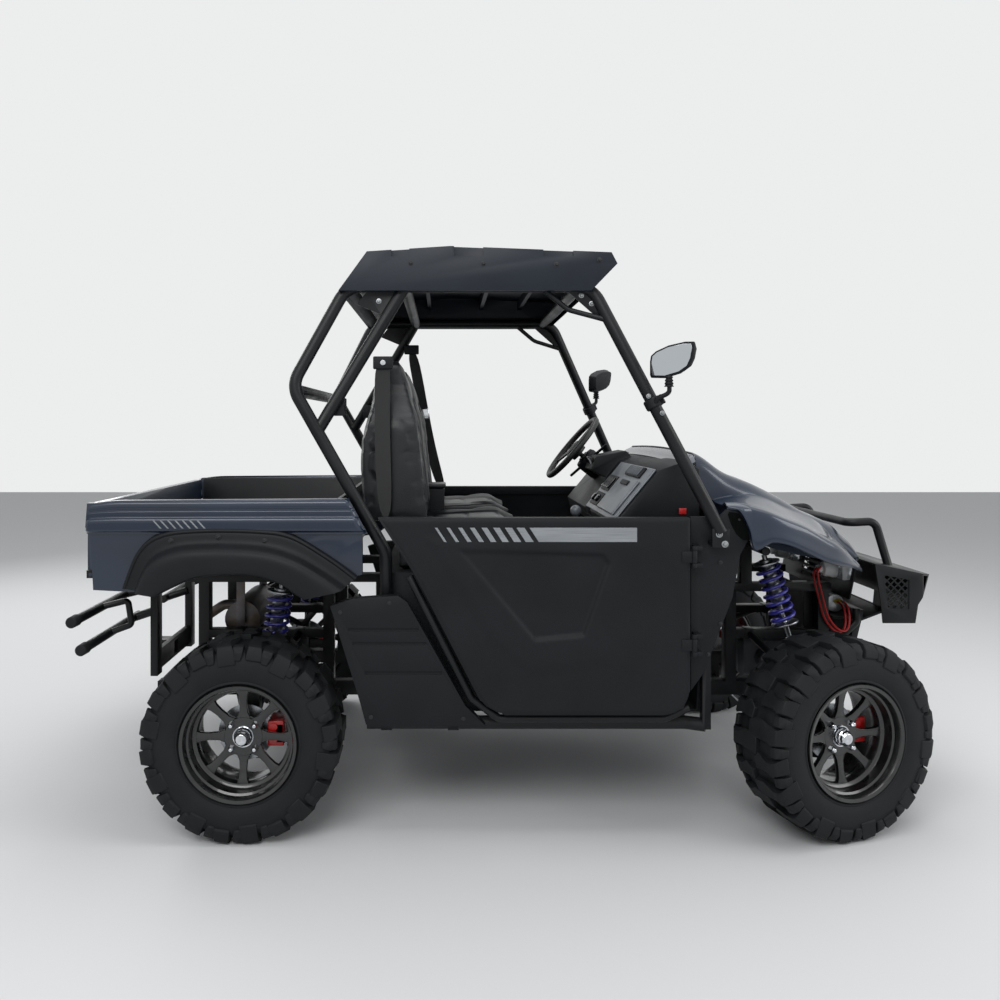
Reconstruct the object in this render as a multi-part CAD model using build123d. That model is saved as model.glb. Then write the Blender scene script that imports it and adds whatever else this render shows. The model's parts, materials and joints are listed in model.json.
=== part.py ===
"""A two-seat side-by-side utility vehicle with a tipping cargo bed.

+X points forward, +Y to the left and +Z up, in millimetres.  The origin lies on the ground in the
middle of the vehicle's overall length and width.  Paired pieces are drawn on the right side, where Y
is negative, and mirrored to the left.  Each function makes one piece, and the table at the end of the
file writes every piece to its own file.
"""

from build123d import *
import os
from math import cos, radians, sin, sqrt

# Running gear
wheelbase = 1930.0
rear_axle_x = -923.0
front_axle_x = rear_axle_x + wheelbase
tyre_radius = 324.0
axle_z = tyre_radius
rear_wheel_y = 640.0
front_wheel_y = 650.0
rear_tyre_width = 260.0
front_tyre_width = 230.0
carcass_radius = 303.0
lug_count = 20
lug_width = 32.0
rim_radius = 190.0
bead_radius = 176.0
rim_wall = 7.0
lug_plane_y = 668.0
hub_radius = 62.0
hub_thickness = 22.0
cap_radius = 27.0
spoke_count = 8
disc_radius = 92.0
kingpin_y = 560.0
kingpin_radius = 12.0
spindle_radius = 12.0
ball_joint_rise = 95.0
steer_rest = 18.0
steering_arm = 110.0
steering_arm_inset = 20.0
rack_radius = 9.0
rack_x = front_axle_x - steering_arm
rack_z = axle_z - 56.0

# Clearances
seat_gap = 0.3
running_gap = 0.05
swing_gap = 6.0

# Chassis rails
rail_top_z = 380.0
rail_depth = 50.0
rail_inner_y = 200.0
rail_outer_y = 250.0
frame_front_x = front_axle_x + 208.0
sill_tube = 22.0
sill_tube_y = 630.0
sill_z = rail_top_z - 26.0
upper_rail_z = 785.0
front_rail_z = 750.0
tower_top_z = 885.0
bridge_tube = 15.0
rear_bridge_x = rear_axle_x + 83.0
front_bridge_x = front_axle_x - 127.0
rear_spring_foot_x = rear_axle_x + 43.0
front_spring_foot_x = front_axle_x - 7.0
arm_tube = 13.0
bracket_depth = 6.0
arm_spread = 115.0
lower_pivot_z = 350.0
upper_pivot_z = 560.0
spring_y = 440.0
spring_radius = 40.0
spring_wire = 6.5
spring_turns = 7
damper_body = 24.0
damper_rod = 9.0

# Cab levels and widths
floor_z = rail_top_z + seat_gap
sheet = 6.0
cab_half_width = 600.0
tunnel_top_z = 560.0
dash_bottom_z = 930.0
seat_deck_z = 850.0
seat_base_x = -470.0
seat_base_length = 460.0
seat_y = 325.0
seat_width = 470.0

# Cage and roof
cage_tube = 21.0
brace_tube = 9.0
cage_bend = 90.0
cage_top_z = 1822.0
cage_top_y = 568.0
cage_front_x = 241.0
cage_rear_x = -595.0
cage_knee_x = -775.0
cage_knee_y = 622.0
cage_knee_z = 1480.0
second_pillar_x = -396.0
second_pillar_top = (second_pillar_x, -cage_top_y, cage_top_z)
second_pillar_foot = (-688.0, -614.0, 1330.0)
pillar_foot_x = 632.0
pillar_foot_y = 742.0
pillar_foot_z = 1000.0
post_top_z = 960.0
foot_tongue = (600.0, 630.0, -745.0, -642.0, post_top_z + seat_gap, post_top_z + 12.0)
roof_skirt_z = 1802.0
roof_top_z = 1952.0
roof_half_width = 612.0
roof_wall = 6.0

# Doors and side panels
door_top_z = 1049.0
door_bottom_z = 414.0
door_front_x = 530.0
door_y = 745.0
door_thickness = 42.0
door_hinge_x = 543.0
door_hinge_y = 748.0
door_hinge_levels = (924.0, 640.0)
hinge_barrel = 9.0
hinge_pin = 4.0
rim_tube = 13.0
rim_tube_y = 710.0
side_panel_y = 705.0

# Cargo bed
bed_rear_x = -1412.0
bed_front_x = -620.0
bed_tub_y = 655.0
bed_skin_y = 665.0
bed_half_width = 690.0
bed_floor_z = 852.0
bed_top_z = 1106.0
bed_wall = 14.0
bed_pivot_x = -1330.0
bed_pivot_z = 800.0
bed_pin = 8.0
tailgate_thickness = 30.0
tailgate_hinge_z = bed_floor_z
tailgate_hinge_x = bed_rear_x - 26.0
tailgate_pin = 6.0
flare_y = 765.0

# Front body, whose nose keeps its distance from the front axle
cowl_x = 606.0
nose_x = front_axle_x + 258.0
nose_bottom_z = 862.0
fender_rear_x = 738.0
hood_wall = 5.0
fender_wall = 5.0
fascia_half_width = 330.0
lamp_inner_y = 170.0
lamp_outer_y = 305.0
lamp_bottom_z = 770.0
lamp_top_z = 838.0
radiator_x = front_axle_x + 108.0
bumper_reach = 491.0
bumper_half_width = 430.0
bull_bar_tube = 15.0
bull_bar_y = 300.0
mesh_pitch = 26.0
mesh_hole = 19.0

winch_x = front_axle_x + 251.0
winch_z = 655.0
winch_radius = 34.0
winch_flange = 38.0
winch_drum = 24.0

# Steering wheel, on an axis from its middle to the steering gear
steering_wheel_x = 305.0
steering_wheel_y = 330.0
steering_wheel_z = 1248.0
column_dx = 0.770
column_dz = -0.638
shaft_radius = 10.0
column_tube = 24.0

# Towing
hitch_z = 452.0
hitch_pin_x = -1400.0
hitch_pin_hole = 8.25
receiver_inside = 51.4
receiver_outside = 64.0


def box(x0, x1, y0, y1, z0, z1):
    """A block between two corners."""
    return Pos((x0 + x1) / 2, (y0 + y1) / 2, (z0 + z1) / 2) * Box(abs(x1 - x0), abs(y1 - y0), abs(z1 - z0))


def rod(start, end, radius):
    """A straight round bar between two points."""
    line = Line(start, end)
    return sweep(Plane(line @ 0, z_dir=line % 0) * Circle(radius), path=line)


def bent_tube(points, radius, bend):
    """A round tube through the points, with the same bend radius at each corner."""
    path = FilletPolyline(*points, radius=bend)
    return sweep(Plane(path @ 0, z_dir=path % 0) * Circle(radius), path=path)


def outline(points):
    """A closed face in the XY plane from (x, z) points, for the side views below."""
    return make_face(Polyline(*[(x, -z) for x, z in points], close=True))


def side_plate(points, y0, y1, round_to=0.0):
    """A plate whose outline is given as (x, z) points, between two widths."""
    face = outline(points)
    if round_to:
        face = fillet(face.vertices(), round_to)
    low = min(y0, y1)
    return extrude(Plane((0, low, 0), x_dir=(1, 0, 0), z_dir=(0, 1, 0)) * face, amount=abs(y1 - y0))


def left(shape):
    """The mirror image across the vehicle's middle plane."""
    return mirror(shape, about=Plane.XZ)


def group(*shapes):
    """Solids that do not touch, kept together as one piece."""
    return Compound(children=[solid for shape in shapes for solid in shape.solids()])


def both_sides(shape):
    """The right-hand piece and its mirror image as one group."""
    return group(shape, left(shape))


def fuse(*shapes):
    """One solid, or group of solids, from touching shapes."""
    whole = shapes[0]
    for shape in shapes[1:]:
        whole = whole + shape
    return whole


def along(start, end, distance):
    """A point the given distance from the start towards the end."""
    length = sqrt(sum((b - a) ** 2 for a, b in zip(start, end)))
    return tuple(a + (b - a) * distance / length for a, b in zip(start, end))


def frame():
    """The welded box-section chassis: lower rails, upper rails and the spring towers."""
    pieces = []
    upper = upper_rail_z - 30
    for side in (-1, 1):
        y0 = side * rail_inner_y
        y1 = side * rail_outer_y
        pieces.append(box(-1345, frame_front_x, y0, y1, rail_top_z - rail_depth, rail_top_z))
        pieces.append(box(-1345, -480, y0, y1, upper, upper_rail_z))
        pieces.append(box(760, frame_front_x - 15, y0, y1, front_rail_z - 30, front_rail_z))
        pieces.append(box(front_bridge_x - 20, front_bridge_x + 20, y0, y1, front_rail_z - 10, tower_top_z))
        for x in (-1190, -720, -520):
            pieces.append(box(x, x + 40, y0, y1, rail_top_z - 10, upper + 10))
        for x in (800, frame_front_x - 65):
            pieces.append(box(x, x + 40, y0, y1, rail_top_z - 10, front_rail_z - 10))
        z0 = upper_pivot_z - 15
        pieces.append(box(-1190, -680, y0, y1, z0, z0 + 30))
        pieces.append(box(800, frame_front_x - 25, y0, y1, z0, z0 + 30))
        bracket_y = side * (rail_outer_y + bracket_depth)
        for axle_x in (rear_axle_x, front_axle_x):
            for dx in (-arm_spread, arm_spread):
                for z in (lower_pivot_z, upper_pivot_z):
                    x = axle_x + dx
                    pieces.append(box(x - 16, x + 16, y0, bracket_y, z - 18, z + 18))
        ear_y = side * (rail_outer_y - 12)
        pieces.append(box(bed_pivot_x - 14, bed_pivot_x + 20, ear_y, y1, upper, bed_pivot_z + 20))
        pin_ends = [(bed_pivot_x, side * (rail_outer_y + y), bed_pivot_z) for y in (-10, 24)]
        pieces.append(rod(*pin_ends, bed_pin))
        guide_y = (side * (rail_inner_y + 5), side * (rail_outer_y - 5))
        guide = box(rack_x - 20, rack_x + 20, *guide_y, rack_z - 22, rail_top_z - 45)
        bore_ends = [(rack_x, side * y, rack_z) for y in (rail_inner_y, rail_outer_y)]
        pieces.append(guide - rod(*bore_ends, rack_radius + running_gap))
    inside = rail_inner_y + 5
    for x in (-1345, -480, 500, frame_front_x - 40):
        pieces.append(box(x, x + 40, -inside, inside, rail_top_z - 45, rail_top_z - 5))
    pieces.append(box(-1345, -1315, -inside, inside, upper + 3, upper_rail_z - 3))
    pieces.append(box(760, 790, -inside, inside, front_rail_z - 27, front_rail_z - 3))
    return fuse(*pieces)


def sill_tubes():
    """The outer tubes under the doors, their outriggers and the posts at the front of the cab."""
    sides = []
    z = sill_z
    for side in (-1, 1):
        y = side * sill_tube_y
        sill = bent_tube([(-520, y, z), (545, y, z), (604, side * 657, z)], sill_tube, 60)
        pieces = [sill]
        for x in (-500, 20, 540):
            pieces.append(rod((x, side * (rail_outer_y + seat_gap), z), (x, side * sill_tube_y, z), 18))
        pieces.append(box(590, 618, side * 640, side * 674, z - 10, post_top_z))
        sides.append(fuse(*pieces))
    return group(*sides)


def spring_bridges():
    """The cross tubes that hold the tops of the spring units."""
    tubes = []
    for x, rail_z in ((rear_bridge_x, upper_rail_z), (front_bridge_x, tower_top_z)):
        z = rail_z + bridge_tube + seat_gap
        tubes.append(rod((x, -spring_y - 15, z), (x, spring_y + 15, z), bridge_tube))
    return group(*tubes)


def side_hoop(radius):
    """The long bent tube of the cage's right side."""
    points = [
        (pillar_foot_x, -pillar_foot_y, pillar_foot_z),
        (cage_front_x, -cage_top_y, cage_top_z),
        (cage_rear_x, -cage_top_y, cage_top_z),
        (cage_knee_x, -cage_knee_y, cage_knee_z),
        (-457, -628, 921),
        (-457, -628, sill_z + sill_tube + seat_gap),
    ]
    return bent_tube(points, radius, cage_bend)


def pillar_point(z):
    """A point on the axis of the cage's right front pillar, at a height."""
    share = (z - pillar_foot_z) / (cage_top_z - pillar_foot_z)
    x = pillar_foot_x + share * (cage_front_x - pillar_foot_x)
    return (x, -pillar_foot_y + share * (pillar_foot_y - cage_top_y), z)


def roll_cage():
    """Two bent side hoops, their second pillars, corner gussets and the cross tubes."""
    top_y = -cage_top_y
    pillar = rod(second_pillar_top, second_pillar_foot, cage_tube)
    gussets = [
        [(-520, 1812), (-420, 1812), (-470, 1722), (-560, 1760)],
        [(150, 1812), (232, 1812), (276, 1720), (258, 1716)],
    ]
    foot = box(600, 656, -750, -738, 955, 1015) + box(*foot_tongue)
    side = side_hoop(cage_tube) + pillar + foot
    for points in gussets:
        side = side + side_plate(points, top_y - 10, top_y - 4)
    pieces = [side, left(side)]
    for y in (top_y, -top_y):
        brace = [(70, y, cage_top_z - 5), (160, y * 1.01, 1742), (304, y * 1.05, 1700)]
        pieces.append(bent_tube(brace, brace_tube, 60))
    for x in (200, second_pillar_x, -540):
        pieces.append(rod((x, top_y, cage_top_z), (x, -top_y, cage_top_z), cage_tube))
    pieces.append(rod((-752, -cage_knee_y, 1463), (-752, cage_knee_y, 1463), cage_tube))
    return fuse(*pieces)


def roof():
    """The moulded hard roof: a shell with a front visor, edge notches and cross ribs underneath."""
    side = [(-619, roof_skirt_z), (-523, 1934), (-242, roof_top_z)]
    side += [(302, 1931), (322, 1893), (234, roof_skirt_z)]
    inner = [(-607, 1790), (-514, 1927), (-242, roof_top_z - 7), (290, 1923), (302, 1895), (228, 1790)]
    shell = side_plate(side, -roof_half_width, roof_half_width)
    hollow = side_plate(inner, -roof_half_width + 3 * roof_wall, roof_half_width - 3 * roof_wall)
    notches = []
    for x0, x1 in ((-440, -380), (-229, -131), (72, 173)):
        for side in (-1, 1):
            y0 = side * (roof_half_width - 14)
            notches.append(box(x0, x1, y0, side * (roof_half_width + 10), 1918, roof_top_z + 5))
    ribs = []
    for x in (-330, -90, 90):
        ribs.append(box(x - 8, x + 8, -roof_half_width + 8, roof_half_width - 8, 1890, 1936))
    grooves = side_hoop(cage_tube + seat_gap)
    return fuse(shell - hollow, *ribs) - fuse(*notches) - grooves - left(grooves)


def section(x, half_width, bottom_z, top_z, corner):
    """An upright face across the vehicle with rounded top corners."""
    face = Rectangle(2 * half_width, top_z - bottom_z)
    face = fillet(face.vertices().sort_by(Axis.Y)[2:], corner)
    return Plane((x, 0, (bottom_z + top_z) / 2), x_dir=(0, 1, 0), z_dir=(1, 0, 0)) * face


def hood():
    """The painted bonnet shell from the windscreen cowl down to the nose."""
    stations = [
        # share of the bonnet's length, half width, bottom, top, corner
        (0.0, 545, 1130, 1262, 40),
        (0.14, 535, 1010, 1196, 50),
        (0.33, 515, 950, 1150, 60),
        (0.6, 450, 900, 1080, 70),
        (0.83, 390, 872, 1005, 60),
        (0.955, 345, 864, 948, 40),
        (1.0, 325, nose_bottom_z, 915, 25),
    ]
    skins = []
    cores = []
    for share, half_width, bottom_z, top_z, corner in stations:
        x = cowl_x + share * (nose_x - cowl_x)
        skins.append(section(x, half_width, bottom_z, top_z, corner))
        cores.append(section(x, half_width - hood_wall, bottom_z - 60, top_z - hood_wall, corner - 4))
    vent = box(cowl_x + 82, cowl_x + 116, -420, 420, 1150, 1300)
    return loft(skins, ruled=True) - loft(cores, ruled=True) - vent


def front_fenders():
    """The arched wings over the front wheels, up to the bonnet's sides."""
    stations = [
        # share of the wing's length, arch, ridge, outer y, shoulder, inner y
        (0.0, 935, 1010, 735, 1080, 540),
        (0.13, 965, 1050, 735, 1105, 528),
        (0.35, 950, 1027, 715, 1085, 494),
        (0.58, 893, 975, 670, 1035, 458),
        (0.8, 862, 908, 590, 970, 418),
        (1.0, 835, 858, 500, 900, 380),
    ]
    skins = []
    cores = []
    for share, arch, ridge, outer, shoulder, inner in stations:
        x = fender_rear_x + share * (nose_x - 75 - fender_rear_x)
        plane = Plane((x, 0, 0), x_dir=(0, 1, 0), z_dir=(1, 0, 0))
        wall = fender_wall - outer
        skin = [(-outer, arch), (-outer, ridge), (-inner, shoulder), (-inner, arch)]
        core = [(wall, arch - 40), (wall, ridge - 5), (-inner, shoulder - 6), (50 - inner, arch - 40)]
        skins.append(plane * make_face(Polyline(*skin, close=True)))
        cores.append(plane * make_face(Polyline(*core, close=True)))
    return both_sides(loft(skins, ruled=True) - loft(cores, ruled=True))


def front_fascia():
    """The moulded panel under the bonnet's nose, with cooling slots and lamp openings."""
    base_z = winch_z + 50
    top_z = nose_bottom_z - seat_gap
    points = [(nose_x - 3, top_z), (nose_x + 2, top_z), (nose_x - 30, base_z), (nose_x - 36, base_z)]
    panel = side_plate(points, -fascia_half_width, fascia_half_width)
    cuts = []
    for z in (730, 752, 774, 796, 818):
        cuts.append(box(nose_x - 60, nose_x + 20, -120, 120, z, z + 11))
    for side in (-1, 1):
        lamp_y = (side * lamp_inner_y, side * lamp_outer_y)
        cuts.append(box(nose_x - 60, nose_x + 20, *lamp_y, lamp_bottom_z, lamp_top_z))
    return panel - fuse(*cuts)


def kick_panels():
    """The side panels between the doors and the front wheels, with the fixed halves of the hinges."""
    points = [
        (door_hinge_x, door_top_z),
        (640, door_top_z),
        (662, 1072),
        (fender_rear_x - seat_gap, 1078),
        (fender_rear_x - seat_gap, 985),
        (705, 926),
        (679, 785),
        (585, 539),
        (door_hinge_x, 480),
    ]
    x0, x1, y0, y1, z0, z1 = foot_tongue
    slot = box(x0 - seat_gap, x1 + seat_gap, y0, y1, z0 - seat_gap, z1 + seat_gap)
    pieces = [side_plate(points, -side_panel_y + 22, -side_panel_y) - slot]
    for z in door_hinge_levels:
        pin_ends = [(door_hinge_x, -door_hinge_y, z + dz) for dz in (-34, 34)]
        pieces.append(rod(*pin_ends, hinge_pin))
        for dz in (-28, 28):
            pieces.append(Pos(door_hinge_x, -door_hinge_y, z + dz) * Cylinder(hinge_barrel, 14))
            leaf_x = (door_hinge_x + 4, door_hinge_x + 26)
            pieces.append(box(*leaf_x, -door_hinge_y, 5 - side_panel_y, z + dz - 7, z + dz + 7))
    return both_sides(fuse(*pieces))


def door_frames():
    """The bent tubes that rim the door openings below the waist."""
    y = -rim_tube_y
    path = [(-375, y, 855), (-173, y, 458), (-84, y, 393), (455, y, 393), (535, y, 428)]
    rim = bent_tube(path, rim_tube, 30)
    for x in (-40, 400):
        tab_z = sill_z + sill_tube + seat_gap
        rim = rim + box(x, x + 30, y + 6, -sill_tube_y + 8, tab_z, tab_z + 12)
    return both_sides(rim)


def quarter_panels():
    """The moulded panels behind the doors, with pressed grooves."""
    points = [
        (-633, 761),
        (-561, 784),
        (-412, 794),
        (-383, 774),
        (-193, 436),
        (-128, 372),
        (-435, 366),
        (-516, 375),
        (-542, 469),
    ]
    panel = side_plate(points, -720 + 38, -720)
    for z, x0, x1 in ((683, -575, -345), (638, -560, -320), (543, -520, -270)):
        panel = panel - box(x0, x1, -725, -715, z - 5, z + 5)
    for x in (-470, -250):
        panel = panel + box(x, x + 36, -684, -sill_tube_y - sill_tube - seat_gap, sill_z - 9, sill_z + 30)
    return both_sides(panel)


def floor_tub():
    """The cab floor, its centre tunnel and the sloping firewall."""
    floor = box(-480, 600, -cab_half_width, cab_half_width, floor_z, floor_z + sheet)
    wall_top = dash_bottom_z - seat_gap
    wall_points = [(590, floor_z), (600, floor_z), (612, 600), (604, wall_top), (592, wall_top), (602, 600)]
    wall = side_plate(wall_points, -cab_half_width, cab_half_width)
    tunnel = box(-4, 600, -110, 110, floor_z + 3, tunnel_top_z)
    tunnel = tunnel - box(-5, 594, -104, 104, floor_z + 9, tunnel_top_z - sheet)
    return fuse(floor, wall, tunnel)


def column_point(distance):
    """A point on the steering axis, ahead of the steering wheel's middle."""
    x = steering_wheel_x + column_dx * distance
    return (x, steering_wheel_y, steering_wheel_z + column_dz * distance)


def dash():
    """The dashboard with its instrument hood, glovebox recess and open cubbies."""
    back_x = cowl_x - seat_gap
    points = [(330, 960), (318, 1010), (470, 1195), (560, 1228), (back_x, 1200), (back_x, dash_bottom_z)]
    body = side_plate(points, -585, 585)
    pod_points = [(352, 1160), (372, 1215), (500, 1240), (540, 1200), (430, 1120)]
    pod = side_plate(pod_points, 120, 285, 8)
    recess = Pos(402, -330, 1104) * Rot(0, 50.5, 0) * Box(180, 300, 12)
    cubby = box(300, 420, -60, 60, 985, 1035)
    column_hole = rod(column_point(-60), column_point(520), column_tube + seat_gap)
    return fuse(body, pod) - recess - cubby - column_hole


def steering_column():
    """The fixed tube that carries the steering shaft."""
    tube = rod(column_point(58), column_point(420), column_tube)
    return tube - rod(column_point(50), column_point(120), shaft_radius + running_gap)


def steering_wheel():
    """The round wheel with three spokes, a boss and its shaft."""
    plane = Plane(column_point(0), x_dir=(0, 1, 0), z_dir=(column_dx, 0, column_dz))
    ring = plane * Torus(158, 13)
    boss = plane * Pos(0, 0, 20) * Cylinder(38, 44)
    spokes = []
    for turn in (0, 120, 240):
        spokes.append(plane * Rot(0, 0, turn + 90) * Pos(88, 0, 6) * Box(140, 26, 8))
    shaft = rod(column_point(38), column_point(100), shaft_radius)
    return fuse(ring, boss, shaft, *spokes)


def seat_base():
    """The panelled box under the seats, open to the rear."""
    x1 = seat_base_x + seat_base_length
    outer = box(seat_base_x, x1, -cab_half_width, cab_half_width, floor_z + sheet + seat_gap, seat_deck_z)
    inside = cab_half_width - sheet
    inner = box(seat_base_x - 10, x1 - sheet, -inside, inside, 0, seat_deck_z - sheet)
    vents = []
    for z in (560, 600, 640, 680):
        vents.append(box(x1 - 10, x1 + 1, -130, 130, z, z + 14))
    return outer - inner - fuse(*vents)


def seat_cushions():
    """The two seat cushions."""
    base = seat_deck_z + seat_gap
    points = [(-430, base), (10, base), (25, 1010), (-20, 1035), (-420, 1000)]
    pads = []
    for y in (-seat_y, seat_y):
        pads.append(side_plate(points, y - seat_width / 2, y + seat_width / 2, 20))
    return group(*pads)


def seat_backs():
    """The two seat backs."""
    points = [(-430, 999.5), (-320, 1009.1), (-385, 1560), (-420, 1592)]
    points += [(-492, 1588), (-560, 1200), (-540, 999.5)]
    pads = []
    for y in (-seat_y, seat_y):
        pads.append(side_plate(points, y - seat_width / 2 + 10, y + seat_width / 2 - 10, 25))
    return group(*pads)


def engine():
    """The closed mass of engine and gearbox under the seats."""
    bearers = []
    for x in (-400, -140):
        bearers.append(box(x, x + 40, -180, 180, floor_z + sheet + seat_gap, rail_top_z + 25))
    return fuse(box(-440, -60, -200, 200, rail_top_z + 20, seat_deck_z - 60), *bearers)


def muffler():
    """The silencer and its tail pipe."""
    body = Pos(-1040, 0, 600) * Rot(90, 0, 0) * Cylinder(68, 360)
    tail = bent_tube([(-1060, 100, 600), (-1180, 100, 600), (-1240, 100, 560)], 20, 50)
    hangers = []
    rail_bottom_z = upper_rail_z - 30
    for side in (-1, 1):
        hangers.append(box(-1056, -1024, side * 170, side * (rail_inner_y + 12), 590, 610))
        y0 = side * (rail_inner_y + 6)
        hangers.append(box(-1056, -1024, y0, side * (rail_inner_y + 12), 590, rail_bottom_z - seat_gap))
    return fuse(body, tail, *hangers)


def drivetrain():
    """Final drives and half shafts."""
    units = []
    rise = 106.0
    for x, y in ((rear_axle_x, 520.0), (front_axle_x, 480.0)):
        case = Pos(x, 0, axle_z + rise) * Box(200, 170, 160)
        case = chamfer(case.edges(), 18)
        reach = rail_inner_y - seat_gap
        mount = box(x - 60, x - 30, -reach, reach, rail_top_z - 26, rail_top_z - 4)
        pieces = [case, mount, rod((x, -150, axle_z + rise), (x, 150, axle_z + rise), 40)]
        for side in (-1, 1):
            pieces.append(rod((x, side * 140, axle_z + rise), (x, side * y, axle_z), 14))
        units.append(fuse(*pieces))
    return group(*units)


def bracket_side():
    """What lies inboard of the faces of the arm brackets, with the gap at which the arms are seated."""
    reach = rail_outer_y + bracket_depth + seat_gap
    return box(rear_axle_x - 300, front_axle_x + 300, -reach, 0, 0, 700)


def front_arms():
    """Upper and lower wishbones of the front suspension, with eyes round the kingpins."""
    arms = []
    for z_in, rise in ((lower_pivot_z, -ball_joint_rise), (upper_pivot_z, ball_joint_rise)):
        place = Pos(front_axle_x, -kingpin_y, axle_z + rise)
        arm = place * Cylinder(22, 24)
        for dx in (-arm_spread, arm_spread):
            inner = (front_axle_x + dx, -rail_outer_y, z_in)
            arm = arm + rod(inner, (front_axle_x, -kingpin_y + 14, axle_z + rise), arm_tube)
        arm = arm - place * Cylinder(kingpin_radius + running_gap, 60) - bracket_side()
        arms.append(arm)
        arms.append(left(arm))
    return group(*arms)


def rear_arms():
    """Upper and lower wishbones, upright and stub axle of each rear wheel."""
    pieces = []
    for z_in, rise in ((lower_pivot_z, -90.0), (upper_pivot_z, 90.0)):
        for dx in (-arm_spread, arm_spread):
            inner = (rear_axle_x + dx, -rail_outer_y, z_in)
            pieces.append(rod(inner, (rear_axle_x, -540, axle_z + rise), arm_tube) - bracket_side())
    pieces.append(box(rear_axle_x - 30, rear_axle_x + 30, -572, -530, axle_z - 112, axle_z + 112))
    caliper = box(rear_axle_x + 76, rear_axle_x + 120, -592, -566, axle_z - 38, axle_z + 38)
    bridge = box(rear_axle_x + 20, rear_axle_x + 100, -572, -560, axle_z - 20, axle_z + 20)
    stub = rod((rear_axle_x, -570, axle_z), (rear_axle_x, -lug_plane_y - 4, axle_z), spindle_radius)
    return both_sides(fuse(*pieces, caliper, bridge, stub))


def spring_axis(bridge_x):
    """Upper and lower eyes of the spring unit under the given bridge."""
    if bridge_x == front_bridge_x:
        top = (front_bridge_x, -spring_y + 10, tower_top_z - 2 * seat_gap)
        return top, (front_spring_foot_x, -spring_y - 6, 480)
    return (rear_bridge_x, -spring_y, upper_rail_z), (rear_spring_foot_x, -spring_y, 497)


spring_start = 32.0
spring_length = 216.0


def dampers():
    """The damper bodies, rods and spring perches of the four spring units."""
    units = []
    for bridge_x in (rear_bridge_x, front_bridge_x):
        top, bottom = spring_axis(bridge_x)
        unit = rod(top, bottom, damper_rod)
        unit = unit + rod(along(top, bottom, 18), along(top, bottom, 170), damper_body)
        for low in (spring_start - 6 - seat_gap, spring_start + spring_length + seat_gap):
            ends = (along(top, bottom, low), along(top, bottom, low + 6))
            unit = unit + rod(*ends, spring_radius + spring_wire)
        units.append(unit)
        units.append(left(unit))
    return group(*units)


def springs():
    """The coil springs round the dampers."""
    coil_height = spring_length - 2 * spring_wire
    path = Helix(pitch=coil_height / spring_turns, height=coil_height, radius=spring_radius)
    coil = sweep(Plane(path @ 0, z_dir=path % 0) * RegularPolygon(spring_wire, 6), path=path)
    units = []
    for bridge_x in (rear_bridge_x, front_bridge_x):
        top, bottom = spring_axis(bridge_x)
        start = along(top, bottom, spring_start + spring_wire)
        direction = tuple(b - a for a, b in zip(top, bottom))
        unit = Plane(start, x_dir=(0, 1, 0), z_dir=direction) * coil
        units.append(unit)
        units.append(left(unit))
    return group(*units)


def radiator():
    """The radiator core with its side tanks."""
    x = radiator_x
    core = box(x + 6, x + 35, -160, 160, 500, 715)
    reach = rail_inner_y - seat_gap
    tanks = [box(x, x + 41, side * 160, side * reach, 495, front_rail_z - 32) for side in (-1, 1)]
    return fuse(core, *tanks)


def mesh_panel(points, y0, y1, x0, z0, columns, rows):
    """A side plate pierced by a lattice of diamond holes."""
    panel = side_plate(points, y0, y1)
    side = mesh_hole / sqrt(2)
    holes = []
    for row in range(rows):
        for column in range(columns):
            x = x0 + mesh_pitch * (column + 0.5 * (row % 2))
            z = z0 + mesh_pitch * 0.5 * row
            holes.append(Pos(x, (y0 + y1) / 2, z) * Rot(0, 45, 0) * Box(side, 20, side))
    return panel - fuse(*holes)


def front_bumper():
    """The folded front guard with mesh cheeks, winch tray, skid plate and bull bar."""
    # distances ahead of the front axle, and heights
    y = bumper_half_width
    reach = bumper_reach
    wing = side_plate([(271, 852), (reach, 807), (425, 706), (415, 640), (299, 640), (293, 700)], -y, y)
    hollow = side_plate([(193, 864), (reach - 13, 802), (417, 706), (407, 600), (193, 600)], -y + 5, y - 5)
    window = side_plate([(303, 812), (393, 795), (393, 690), (318, 690)], -y - 5, y + 5)
    slot = box(393, 453, -120, 120, 650, 702)
    corners = fuse(*[Pos(reach, side * y, 750) * Rot(0, 0, 45) * Box(70, 70, 300) for side in (-1, 1)])
    guard = wing - hollow - window - slot - corners
    cheek = mesh_panel([(293, 820), (403, 797), (403, 680), (308, 680)], -y + 5, -y + 8, 316, 700, 3, 9)
    tray_z = winch_z - winch_flange - seat_gap
    tray = box(winch_x - winch_radius - front_axle_x, 305, -210, 210, tray_z - 6, tray_z)
    rail_face = frame_front_x - front_axle_x + seat_gap
    pads = [box(rail_face, 222, side * 200, side * 225, rail_top_z - 40, rail_top_z - 8) for side in (-1, 1)]
    strut = bent_tube([(299, -225, 650), (299, -225, 600), (215, -225, 520)], 14, 30)
    skid_points = [(299, 645), (328, 645), (268, 400), (233, 345), (217, 345), (233, 380), (255, 405)]
    skid = side_plate(skid_points, -225, 225)
    floor = side_plate([(310, 600), (310, 607), (408, 647), (414, 640)], -225, 225)
    points = [
        (383, -bull_bar_y, 822),
        (333, -bull_bar_y, 990),
        (233, -bull_bar_y, 985),
        (233, bull_bar_y, 985),
        (333, bull_bar_y, 990),
        (383, bull_bar_y, 822),
    ]
    bar = bent_tube(points, bull_bar_tube, 35)
    guard = fuse(guard, cheek, left(cheek), tray, strut, left(strut), skid, floor, *pads, bar)
    return Pos(front_axle_x, 0, 0) * guard


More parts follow.
